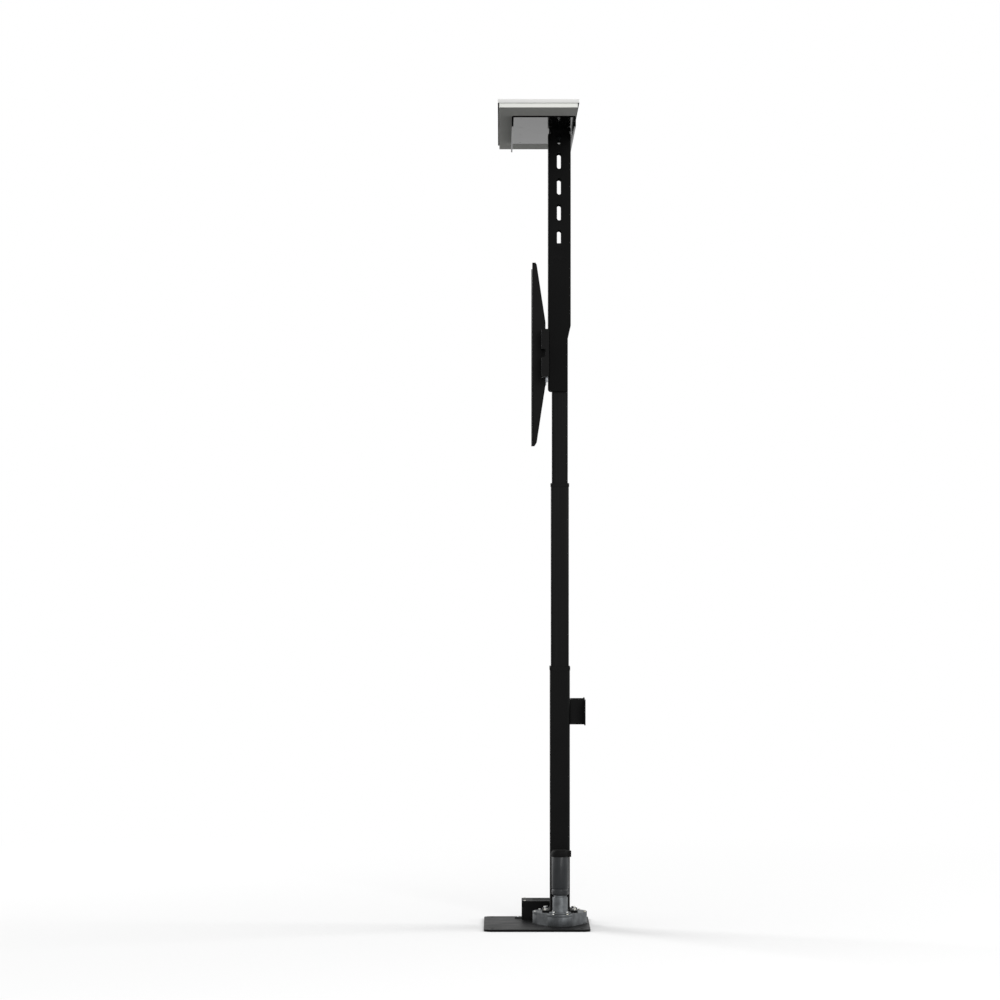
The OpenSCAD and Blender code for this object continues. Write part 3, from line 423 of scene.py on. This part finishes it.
turned(shape, [
    (JOURNAL - END_BREAK, screw_low.z, ROUND),
    (JOURNAL, screw_low.z + END_BREAK, ROUND),
    (JOURNAL, wheel_low.z - WHEEL_SHOULDER, ROUND),
    (WHEEL_SEAT, wheel_low.z - WHEEL_SHOULDER, ROUND),
    (WHEEL_SEAT, wheel_high.z, ROUND),
    (COLLAR, wheel_high.z, ROUND),
    (COLLAR, bearing_low.z - BEARING_GAP, ROUND),
    (BEARING_SEAT, bearing_low.z - BEARING_GAP, ROUND),
    (BEARING_SEAT, bearing_high.z + BEARING_GAP, ROUND),
    (SCREW_ROOT, bearing_high.z + BEARING_GAP, ROUND),
    (SCREW_ROOT, thread_low + END_BREAK, ROUND),
])
turned(shape, [
    (SCREW_ROOT, thread_high - END_BREAK, ROUND),
    (SCREW_ROOT, driver_low.z, ROUND),
    (JOURNAL, driver_low.z, ROUND),
    (JOURNAL, screw_high.z - END_BREAK, ROUND),
    (JOURNAL - END_BREAK, screw_high.z, ROUND),
])
rolled_steel = lathe_turned("rolled_steel", "8f9397", "a9adb1", 0.0006, 0.26)
add_piece("lower_lead_screw", shape, rolled_steel, "drive_screw", "bright_steel", "lower_screw")

TOP_SCREW = 0.012
TOP_ROOT = TOP_SCREW - THREAD_DEPTH
TOP_JOURNAL = 0.011
BORE_FLATS = 0.015
BORE = BORE_FLATS / math.sqrt(3)
top_low, top_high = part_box("upper_screw")
top_bearing_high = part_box("screw_bearing")[1]
journal_end = top_bearing_high.z + BEARING_GAP
thread_low = top_bearing_high.z + RUN_OUT
shape, ends = thread(TOP_SCREW, TOP_ROOT, LEAD / STARTS, STARTS, thread_low, top_high.z)
bore = []
for height in (thread_low, top_high.z):
    at = Matrix.Translation((0, 0, height))
    made = bmesh.ops.create_circle(shape, radius=BORE, segments=HEX, matrix=at)["verts"]
    bore.append(list(dict.fromkeys(edge for vert in made for edge in vert.link_edges)))
bmesh.ops.bridge_loops(shape, edges=bore[0] + bore[1])
for edges, rim in zip(ends, bore):
    bmesh.ops.bridge_loops(shape, edges=edges + rim)
turned(shape, [
    (BORE, top_low.z, HEX),
    (TOP_JOURNAL, top_low.z, ROUND),
    (TOP_JOURNAL, journal_end, ROUND),
    (TOP_ROOT, journal_end, ROUND),
    (TOP_ROOT, thread_low + END_BREAK, ROUND),
    (BORE, thread_low + END_BREAK, HEX),
], hollow=True)
add_piece("upper_lead_screw", shape, rolled_steel, "top_screw", "bright_steel", "upper_screw")

# Wheel: moulded nylon spur gear, 54 teeth, pressed on the lower screw against its collar.
# Natural nylon is milky, with the faint flow lines of its mould.
nylon, place = new_finish("natural_nylon", {"Subsurface Weight": 0.15, "Subsurface Scale": 0.002})
flow = between(noise(place, 0.012, 3.0, (1, 1, 0.3)))
feed(
    nylon,
    Base_Color=mix(flow, srgb("d3cdb8"), srgb("e0dccb")),
    Roughness=0.38 + 0.12 * flow,
    Normal=relief(noise(place, 0.0008), 0.00003, 0.5),
)
dress(nylon, "wheel_gear", edge=0.00012)

# Motor: a drawn steel can, painted dark grey, on a die-cast gearhead, with a moulded end cap.
# It stands on the gear cover beside the column, and its lead plugs into the cap's back.
motor_paint, place = new_finish("motor_paint", {"Specular IOR Level": 0.2, "Coat Weight": 0.06})
drawn = noise(place, 0.0008, 2.0, (1, 1, 40))
feed(
    motor_paint,
    Base_Color=mix(between(noise(place, 0.03)), srgb("202224"), srgb("282a2c")),
    Roughness=0.34 + 0.14 * drawn,
    Normal=relief(drawn, 0.00002, 0.5),
)
dress(motor_paint, "motor_can")
dress(grey_casting, "motor_gearhead")


def moulded(name, dark, light, texture):
    """Moulded plastic with the mould's fine spark-eroded texture."""
    material, place = new_finish(name, {"Specular IOR Level": 0.06})
    cloud = between(noise(place, 0.04))
    skin = noise(place, texture, 3.0)
    feed(
        material,
        Base_Color=mix(cloud, srgb(dark), srgb(light)),
        Roughness=0.5 + 0.14 * skin,
        Normal=relief(skin, 0.00008, 0.7),
    )
    return material


black_plastic = moulded("black_moulded_plastic", "0f0f0f", "131313", 0.0005)
dress(black_plastic, "motor_cap", edge=0.0004)

# Outer tube: rectangular steel tube, welded to its foot flange and powder coated in one piece.
# Four hex bolts hold the flange to the gear cover; the brace welded on its back steadies the column.
dress(black_coat, "outer_tube", "rear_brace")
BEAD = 0.0022
BEAD_PITCH = 0.0014
BEAD_RIPPLE = 0.1
TUBE_CORNER = 0.005
COLLAR_LIP = 0.00075
BRACE_HALF = 0.030
FOOT_BOLT = 0.003
FOOT_BOLT_HEAD = 0.004


def rounded_path(half_x, half_y, corner, height, pitch):
    """Points about a pitch apart, round a rectangle with round corners."""
    spots = []
    for side in range(4):
        turn = side * math.pi / 2
        reach = (half_x if side % 2 == 0 else half_y) - corner
        other = (half_y if side % 2 == 0 else half_x) - corner
        out = Vector((math.cos(turn), math.sin(turn), 0))
        across = Vector((-math.sin(turn), math.cos(turn), 0))
        steps = math.ceil(2 * other / pitch)
        for i in range(steps):
            spots.append(out * (reach + corner) + across * (2 * i / steps - 1) * other)
        bends = math.ceil(corner * math.pi / 2 / pitch)
        for i in range(bends):
            bend = i / bends * math.pi / 2
            spots.append(out * (reach + corner * math.cos(bend)) + across * (other + corner * math.sin(bend)))
    return [spot + UP * height for spot in spots]


def weld_bead(name, path, closed):
    """A rippled fillet weld along a path, under the coat."""
    line = bpy.data.curves.new(name, "CURVE")
    line.dimensions = "3D"
    line.bevel_depth = BEAD
    line.bevel_resolution = 2
    line.use_fill_caps = True
    run = line.splines.new("POLY")
    run.points.add(len(path) - 1)
    for i, (point, spot) in enumerate(zip(run.points, path)):
        point.co = (*spot, 1)
        point.radius = 1 + BEAD_RIPPLE * (-1) ** i
    run.use_cyclic_u = closed
    sketch = bpy.data.objects.new(name + "_line", line)
    mesh = bpy.data.meshes.new_from_object(sketch)
    bpy.data.objects.remove(sketch)
    shape = bmesh.new()
    shape.from_mesh(mesh)
    bpy.data.meshes.remove(mesh)
    bmesh.ops.remove_doubles(shape, verts=shape.verts, dist=SAME_SPOT)
    add_piece(name, shape, black_coat, "base", "black_steel")


collar_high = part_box("outer_collar")[1]
tube_x = collar_high.x - COLLAR_LIP
tube_y = collar_high.y - COLLAR_LIP
foot_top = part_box("foot_bolts")[1].z - FOOT_BOLT_HEAD
weld_bead("tube_weld", rounded_path(tube_x, tube_y, TUBE_CORNER, foot_top, BEAD_PITCH), True)
brace_low, brace_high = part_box("rear_brace")
weld_rows = math.ceil((brace_high.z - brace_low.z) / BEAD_PITCH)
heights = [brace_low.z + (brace_high.z - brace_low.z) * i / weld_rows for i in range(weld_rows + 1)]
for side, name in ((-1, "brace_weld_left"), (1, "brace_weld_right")):
    weld_bead(name, [Vector((side * BRACE_HALF, tube_y, z)) for z in heights], False)

CORNERS_OFF = 0.97
HEX_CORNER = 1 / math.cos(math.pi / HEX)


def hex_screw(length, flat, shank, rise):
    """Rings of a hex-head screw, its tip at zero. Flat is half its width, and its corners are turned off."""
    seat = length - rise
    head = flat * HEX_CORNER
    return [
        (0.8 * shank, 0, ROUND), (shank, 0.2 * shank, ROUND), (shank, seat, ROUND),
        (head, seat, HEX), (head, length - 0.12 * rise, HEX), (CORNERS_OFF * flat, length, ROUND),
    ]


shape = bmesh.new()
for low, high in solids("foot_bolts"):
    place, length, flat = standing(low, high, UP)
    turned(shape, hex_screw(length, flat, FOOT_BOLT, FOOT_BOLT_HEAD), place)
add_piece("foot_hex_bolts", shape, zinc_plate, "base", "zinc", "foot_bolts")

# Middle and inner tubes: the same coated tube, one in the other. Their sides carry faint upright
# streaks where the collars' sleeves wipe them.


def wiped_coat(name, dark, light):
    """Powder coat that slides: upright streaks, a little paler and glossier than the rest."""
    material, place = new_finish(name, {"Specular IOR Level": SHEEN})
    streaks = between(noise(place, 0.0025, 3.0, (1, 1, 160)), 0.45, 0.8)
    grain = noise(place, GRAIN)
    feed(
        material,
        Base_Color=mix(streaks, srgb(dark), srgb(light)),
        Roughness=0.46 - 0.14 * streaks + 0.06 * grain,
        Normal=relief(noise(place, PEEL) + 0.6 * grain, 0.00012, 0.5),
    )
    return material


tube_coat = wiped_coat("wiped_powder_coat", "121212", "171717")
dress(tube_coat, "middle_tube", "inner_tube")

# Collars and feet: moulded black acetal. A collar's sleeve guides the tube that slides in it, and
# a foot plugs the lower end of a moving tube and holds its nut.
dress(black_plastic, "outer_collar", "middle_collar", edge=0.0005, merge_flats=False)
dress(black_plastic, "middle_foot", "inner_foot")

# Control box: a moulded tray and a vented cover, screwed to the base plate. Three sockets in its
# back take the leads of the motor, the handset and the power supply.
dress(black_plastic, "control_base", "control_cover", edge=0.0005)
socket_plastic = moulded("socket_plastic", "0a0a0a", "0d0d0d", 0.0003)
dress(socket_plastic, "control_sockets")
board_lacquer, place = new_finish("green_board_lacquer", {"Coat Weight": 0.4})
tracks = place.node(
    "ShaderNodeTexBrick",
    {"offset": 0.5, "squash": 1.0},
    {"Vector": place, "Scale": 1.0, "Mortar Size": 0.0004, "Brick Width": 0.007, "Row Height": 0.003},
    1,
)
feed(
    board_lacquer,
    Base_Color=mix(tracks, srgb("2c6642"), srgb("3f8a5a")),
    Roughness=0.3 + 0.1 * noise(place, 0.002),
)
dress(board_lacquer, "control_board")

CONTACT = 0.0009
CONTACT_TIP = 0.4
CONTACT_REACH = 0.55
shape = bmesh.new()
for opening in frame["record"]["physics"]["openings"]:
    low, high = (Vector(corner) for corner in opening["box_m"])
    middle = (low + high) / 2
    count = 2 if opening["name"] == "motor_socket" else 4
    for i in range(count):
        x = low.x + (high.x - low.x) * (i + 0.5) / count
        root = Vector((x, low.y - CONTACT, middle.z))
        place = Matrix.Translation(root) @ Matrix.Rotation(-math.pi / 2, 4, "X")
        reach = CONTACT_REACH * (high.y - low.y)
        turned(shape, [
            (CONTACT, 0, ROUND), (CONTACT, reach - CONTACT, ROUND), (CONTACT_TIP * CONTACT, reach, ROUND),
        ], place)
contact_brass = lathe_turned("contact_brass", "b8934e", "cfae6c", 0.0004, 0.22)
add_piece("socket_contacts", shape, contact_brass, "base", "bronze")

# Column head: a die-cast block, coated black, that caps the inner tube and fills the carriage
# round it. Countersunk bolts, flush in the carriage's sides and with plugged sockets, go into it.
dress(black_coat, "column_head", edge=0.0006)
# Painted shade: the carriage's coat is a darker, less glossy copy of the black coat, standing for the lid's
# shade; the flush head bolts wear it too.
channel_painted_shade_coat = powder_coat("channel_powder_coat_painted_shade", "090909", "0c0c0c", sheen=0.036)
HEAD_BOLT_SHANK = 0.577
HEAD_BOLT_RISE = 0.2115
HEAD_BOLT_PLUG = 0.08
OUT = {0: Vector((1, 0, 0)), 1: Vector((0, 1, 0))}


def outward(low, high):
    """The way from the column's axis along a level fastener."""
    size = high - low
    along = 0 if size.x > size.y else 1
    return OUT[along] * math.copysign(1, (low + high)[along])


shape = bmesh.new()
for low, high in solids("head_bolts"):
    place, length, head = standing(low, high, outward(low, high))
    rings = socket_screw(length, head, HEAD_BOLT_SHANK, HEAD_BOLT_RISE, sunk=True, depth=HEAD_BOLT_PLUG)
    turned(shape, rings, place)
add_piece("head_sunk_bolts", shape, channel_painted_shade_coat, "carriage", "black_steel", "head_bolts")

# Carriage channel: 2.5 mm sheet steel, laser cut with its adjusting slots, folded to a U round
# the column and powder coated. Its lower sides are cut back to pass the brace. Its coat is painted
# darker and less glossy than the other black parts: painted shade for the lid's shadow on it.
dress(channel_painted_shade_coat, "carriage_channel")

# Screen mount: a laser-cut plate and two folded crossbars, coated like the carriage, with moulded
# caps in the bars' ends. Studs pressed into the carriage and their nuts hold all of it.
dress(black_coat, "mount_plate", "crossbar_upper", "crossbar_lower")
dress(black_plastic, "crossbar_caps")
NUT_STEP = 0.0001
NUT_BREAK = 0.0005


def hex_nut(bore, washer, washer_rise, head, height):
    """Rings of a nut with its washer, its seat at zero, round a bore. Head is the radius of its corners."""
    return [
        (bore, 0, ROUND), (washer, 0, ROUND), (washer, washer_rise, ROUND),
        (head, washer_rise + NUT_STEP, HEX), (head, height - NUT_BREAK, HEX),
        (CORNERS_OFF * head / HEX_CORNER, height, ROUND), (bore, height, ROUND),
    ]


FRONT = Vector((0, -1, 0))
STUD = 0.003
STUD_PITCH = 0.001
STUD_DEPTH = 0.0006
STUD_HEAD = 0.0048
STUD_HEAD_RISE = 0.00125
shape = bmesh.new()
for low, high in solids("mount_studs"):
    place, length = standing(low, high, FRONT)[:2]
    stud, ends = thread(STUD, STUD - STUD_DEPTH, STUD_PITCH, 1, STUD_HEAD_RISE, length, sides=20)
    for edges in ends:
        bmesh.ops.edgeloop_fill(stud, edges=edges)
    turned(stud, [(STUD_HEAD, 0, ROUND), (STUD_HEAD, STUD_HEAD_RISE, ROUND)])
    stud.transform(place)
    mesh = bpy.data.meshes.new("stud")
    stud.to_mesh(mesh)
    stud.free()
    shape.from_mesh(mesh)
    bpy.data.meshes.remove(mesh)
add_piece("threaded_studs", shape, zinc_plate, "carriage", "zinc", "mount_studs")

NUT_WASHER = 0.006
NUT_WASHER_RISE = 0.0012
NUT_HEAD = 0.0057
shape = bmesh.new()
for low, high in solids("mount_nuts"):
    place, length = standing(low, high, FRONT)[:2]
    turned(shape, hex_nut(STUD, NUT_WASHER, NUT_WASHER_RISE, NUT_HEAD, length), place, hollow=True)
add_piece("flange_nuts", shape, zinc_plate, "carriage", "zinc", "mount_nuts")

# Screen rails: folded sheet steel, tapered to both tips, coated satin black. They hook over the
# upper bar, swing in over the lower one, and slide along both to suit the screen.
rail_coat = powder_coat("rail_powder_coat", "0c0c0c", "0f0f0f")
dress(rail_coat, "rail_left", "rail_right")

# Lock catches: zinc die castings whose tongue stands behind the lower bar's lip. A small hex
# screw from below holds each one up against its rail.


def cast_zinc(name, dark, light):
    """Barrelled zinc casting, dull, with the flat grey of its plating."""
    material, place = new_finish(name, {"Metallic": 0.9})
    patch = between(noise(place, 0.006, 3.0))
    feed(
        material,
        Base_Color=mix(patch, srgb(dark), srgb(light)),
        Roughness=0.42 + 0.12 * patch,
        Normal=relief(noise(place, 0.0007), 0.00006, 0.6),
    )
    return material


catch_zinc = cast_zinc("catch_zinc", "74777b", "8b8e92")
TONGUE = 0.002
TONGUE_RISE = 0.006
CATCH_DIP = 0.0035
CATCH_HEEL = 0.0045
CATCH_ROUND = 0.0004
LOCK_SCREW = 0.0025
LOCK_SCREW_HEAD = 0.0035
for side in ("left", "right"):
    catch = "lock_catch_" + side
    low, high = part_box(catch)
    shape = bmesh.new()
    body_top = high.z - TONGUE_RISE
    outline = [
        (low.y, low.z), (high.y, low.z), (high.y, body_top), (high.y - CATCH_HEEL, body_top),
        (high.y - CATCH_HEEL - CATCH_DIP / 2, body_top - CATCH_DIP), (low.y + TONGUE, body_top - CATCH_DIP),
        (low.y + TONGUE, high.z), (low.y, high.z),
    ]
    flank = shape.faces.new([shape.verts.new((low.x, y, z)) for y, z in outline])
    grown = bmesh.ops.extrude_face_region(shape, geom=[flank])["geom"]
    moved = [part for part in grown if isinstance(part, bmesh.types.BMVert)]
    bmesh.ops.translate(shape, verts=moved, vec=(high.x - low.x, 0, 0))
    bmesh.ops.recalc_face_normals(shape, faces=shape.faces)
    bmesh.ops.bevel(
        shape, geom=shape.edges[:], offset=CATCH_ROUND, segments=2, profile=0.5, affect="EDGES", material=-1
    )
    add_piece("cast_" + catch, shape, catch_zinc, side + "_rail", "zinc", catch)

    screw = "lock_screw_" + side
    place, length, flat = standing(*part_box(screw), DOWN)
    shape = bmesh.new()
    turned(shape, hex_screw(length, flat, LOCK_SCREW, LOCK_SCREW_HEAD), place)
    add_piece("lock_hex_screw_" + side, shape, zinc_plate, side + "_rail", "zinc", screw)

# Lid bracket and tray: folded steel, coated. The bracket's legs are clamped in the carriage's top
# slots by black bolts, so the lid's height can be set; the long tray spreads its hold on the board.
dress(black_coat, "lid_bracket")
tray_coat = powder_coat("gloss_powder_coat", "0c0c0c", "0f0f0f", 0.09, 0.0027)
dress(tray_coat, "lid_tray")
black_oxide = lathe_turned("black_oxide", "0e0f10", "151617", 0.0005, 0.4)
BRACKET_SHANK = 0.571
BRACKET_RISE = 0.286
BRACKET_GRIP = 0.0059
BRACKET_NUT = 0.00555
BRACKET_NUT_RISE = 0.005
NUT_FACE = 0.9
NUT_FACE_RISE = 0.0003


def add_nut(shape, place, seat, bore, head, rise):
    """A plain hex nut round a bolt, seat metres from the bolt's tip."""
    rings = hex_nut(bore, NUT_FACE * head, NUT_FACE_RISE, head, rise)
    turned(shape, rings, place @ Matrix.Translation((0, 0, seat)), hollow=True)


shape = bmesh.new()
for low, high in solids("bracket_bolts"):
    place, length, head = standing(low, high, outward(low, high))
    turned(shape, socket_screw(length, head, BRACKET_SHANK, BRACKET_RISE), place)
    seat = length - 2 * head * BRACKET_RISE - BRACKET_GRIP - BRACKET_NUT_RISE
    add_nut(shape, place, seat, head * BRACKET_SHANK, BRACKET_NUT, BRACKET_NUT_RISE)
add_piece("bracket_socket_bolts", shape, black_oxide, "lid", "black_steel", "bracket_bolts")

TRAY_BOLT_SHANK = 0.4615
TRAY_BOLT_RISE = 0.269
TRAY_BOLT_HEAD = 0.0065
TRAY_GRIP = 0.0075
TRAY_NUT = 0.0057
TRAY_NUT_RISE = 0.005
shape = bmesh.new()
for low, high in solids("tray_bolts"):
    place, length = standing(low, high, UP)[:2]
    turned(shape, socket_screw(length, TRAY_BOLT_HEAD, TRAY_BOLT_SHANK, TRAY_BOLT_RISE, sunk=True), place)
    seat = length - TRAY_GRIP - TRAY_NUT_RISE
    add_nut(shape, place, seat, TRAY_BOLT_HEAD * TRAY_BOLT_SHANK, TRAY_NUT, TRAY_NUT_RISE)
add_piece("tray_sunk_bolts", shape, zinc_plate, "lid", "zinc", "tray_bolts")

# Lid: two fibre boards glued face to face, the lower one a step smaller all round, sanded and
# lacquered off-white on every side. It rides on the carriage, screwed to the tray under it. The
# top board's lacquer is a touch greyer than the core's: painted shade, so that its end does not
# look brighter than the core's under the lamps.


def lacquer(name, dark, light):
    """Spray lacquer on board: a faint orange peel and a soft, even sheen."""
    material, place = new_finish(name, {"Specular IOR Level": 0.02})
    cloud = between(noise(place, 0.15, 3.0))
    peel = noise(place, 0.004)
    feed(
        material,
        Base_Color=mix(cloud, srgb(dark), srgb(light)),
        Roughness=0.78 + 0.08 * noise(place, 0.02),
        Normal=relief(peel, 0.00005, 0.5),
    )
    return material


def add_block(shape, low, high):
    """A plain block between two corners."""
    place = Matrix.Translation((low + high) / 2) @ Matrix.Diagonal((*(high - low), 1))
    bmesh.ops.create_cube(shape, size=1, matrix=place)


def board(name, node, material, edge):
    """A board with its edges sanded round."""
    shape = bmesh.new()
    add_block(shape, *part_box(node))
    bmesh.ops.bevel(
        shape, geom=shape.edges[:], offset=edge, segments=3, profile=0.5, affect="EDGES", material=-1
    )
    add_piece(name, shape, material, "lid", "lid_board", node)


board("lid_core_board", "lid_core", lacquer("white_core_lacquer", "e4e5e0", "e8e9e4"), 0.0003)
# Painted shade: the top board's lacquer is a touch greyer than the core board's.
board("lid_top_board", "lid_panel", lacquer("panel_lacquer_painted_shade", "dbdbd9", "dfdfdd"), 0.0004)

# Rim strips: thin dark grey strips in the step under the panel's long rims. They are painted shade
# for the deep shade under the panel's overhang, not tape or any real part.
# The strips' dark grey is painted shade, with a fine mottle over it.
rim_shade_paint, place = new_finish("rim_painted_shade", {"Specular IOR Level": 0.05})
shade_strip_mottle = noise(place, 0.0006, 3.0)
feed(
    rim_shade_paint,
    Base_Color=mix(shade_strip_mottle, srgb("4a4a48"), srgb("585856")),
    Roughness=0.85 + 0.1 * shade_strip_mottle,
    Normal=relief(shade_strip_mottle, 0.00008, 0.6),
)
SHADE_STRIP_DEPTH = 0.0004
SHADE_STRIP_INSET = 0.0001
panel_low, panel_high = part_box("lid_panel")
core_low, core_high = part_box("lid_core")
shape = bmesh.new()
for front, back in ((panel_low.y + SHADE_STRIP_INSET, core_low.y), (core_high.y, panel_high.y - SHADE_STRIP_INSET)):
    low = Vector((panel_low.x + SHADE_STRIP_INSET, front, panel_low.z - SHADE_STRIP_DEPTH))
    high = Vector((panel_high.x - SHADE_STRIP_INSET, back, panel_low.z))
    add_block(shape, low, high)
# The two painted shade strips ride on the lid.
add_piece("rim_painted_shade_strips", shape, rim_shade_paint, "lid", "black_plastic")

# Lid screws: countersunk steel wood screws, coated black like the tray and flush in its underside.
# They go up through the tray into the core board and hold the two together.
LID_SCREW_SHANK = 0.5
LID_SCREW_RISE = 0.25
shape = bmesh.new()
for low, high in solids("lid_screws"):
    place, length, head = standing(low, high, DOWN)
    turned(shape, socket_screw(length, head, LID_SCREW_SHANK, LID_SCREW_RISE, sunk=True), place)
add_piece("lid_wood_screws", shape, tray_coat, "lid", "black_steel", "lid_screws")

# Studio: a pale floor that keeps the lift's shadow, a white surround and three large soft lamps.
# The floor and the surround are white where they are seen or mirrored, and dim to other light.
scene = bpy.context.scene
FLOOR_DROP = 0.0005
FLOOR_REACH = 40.0
DIM_FLOOR = 0.118
DIM_SKY = 0.62
SEEN_FLOOR = 0.78
FADE_START = 0.6
FADE_END = 3.0
LAMP_WIDTH = 3.0
LAMP_AIM = Vector((0, 0, 1))


def seen(tree):
    """One where the camera, a mirror or glass looks, zero for light that only bounces."""
    rays = tree.nodes.new("ShaderNodeLightPath")
    names = ("Is Camera Ray", "Is Glossy Ray", "Is Transmission Ray")
    camera, gloss, glass = (Field(tree, rays.outputs[name]) for name in names)
    return camera + gloss + glass


surround = bpy.data.worlds.new("studio_surround")
surround.use_nodes = True
scene.world = surround
backdrop = surround.node_tree.nodes["Background"]
backdrop.inputs["Color"].default_value = (1, 1, 1, 1)
level = between(seen(surround.node_tree), 0, 1) * (1 - DIM_SKY) + DIM_SKY
surround.node_tree.links.new(level.socket, backdrop.inputs["Strength"])

floor_shape = bmesh.new()
at = Matrix.Translation((0, 0, -FLOOR_DROP))
bmesh.ops.create_circle(floor_shape, cap_ends=True, radius=FLOOR_REACH, segments=64, matrix=at)
floor_mesh = bpy.data.meshes.new("floor")
floor_shape.to_mesh(floor_mesh)
floor_shape.free()
floor = bpy.data.objects.new("floor", floor_mesh)
scene.collection.objects.link(floor)
paint = bpy.data.materials.new("pale_floor")
paint.use_nodes = True
tree = paint.node_tree
tree.nodes.clear()
place = Field(tree, tree.nodes.new("ShaderNodeTexCoord").outputs["Object"])
looked_at = between(seen(tree), 0, 1)
colour = mix(looked_at, (DIM_FLOOR, DIM_FLOOR, DIM_FLOOR, 1), (SEEN_FLOOR, SEEN_FLOOR, SEEN_FLOOR, 1))
lit = place.node("ShaderNodeBsdfDiffuse", {}, {"Color": colour})
glow = place.node("ShaderNodeEmission", {}, {"Strength": looked_at * (1 - DIM_FLOOR) + DIM_FLOOR})
distance = place.node("ShaderNodeVectorMath", {"operation": "LENGTH"}, {0: place}, 1)
far = place.node("ShaderNodeMapRange", {"interpolation_type": "SMOOTHSTEP"}, {
    "Value": distance, "From Min": FADE_START, "From Max": FADE_END,
})
top = place.node("ShaderNodeMixShader", {}, {0: far, 1: lit, 2: glow})
under = Field(tree, tree.nodes.new("ShaderNodeNewGeometry").outputs["Backfacing"])
clear = place.node("ShaderNodeBsdfTransparent", {}, {})
both = place.node("ShaderNodeMixShader", {}, {0: under, 1: top, 2: clear})
tree.links.new(both.socket, tree.nodes.new("ShaderNodeOutputMaterial").inputs["Surface"])
floor_mesh.materials.append(paint)

for name, spot, watts in (
    ("key_lamp", (5.8, 1.1, 3.1), 210.0),
    ("fill_lamp", (-4.0, -4.6, 3.5), 250.0),
    ("back_lamp", (-1.0, 5.6, 3.5), 190.0),
):
    lamp = bpy.data.lights.new(name, "AREA")
    lamp.size = LAMP_WIDTH
    lamp.energy = watts
    stand = bpy.data.objects.new(name, lamp)
    stand.location = spot
    stand.rotation_mode = "QUATERNION"
    stand.rotation_quaternion = (LAMP_AIM - Vector(spot)).to_track_quat("-Z", "Y")
    stand.visible_camera = False
    scene.collection.objects.link(stand)

# Camera: level and square to the lift's right side, at about half its height.
# It stands far off with a long lens, so the lid's far end shrinks only a little.
eye = bpy.data.cameras.new("camera")
eye.lens = 161.0
eye.sensor_width = 36.0
eye.clip_end = 200.0
camera = bpy.data.objects.new("camera", eye)
camera.location = (10.63, -0.142, 1.010)
camera.rotation_euler = (math.pi / 2, 0, math.pi / 2)
scene.collection.objects.link(camera)
scene.camera = camera

scene.view_settings.view_transform = "Standard"
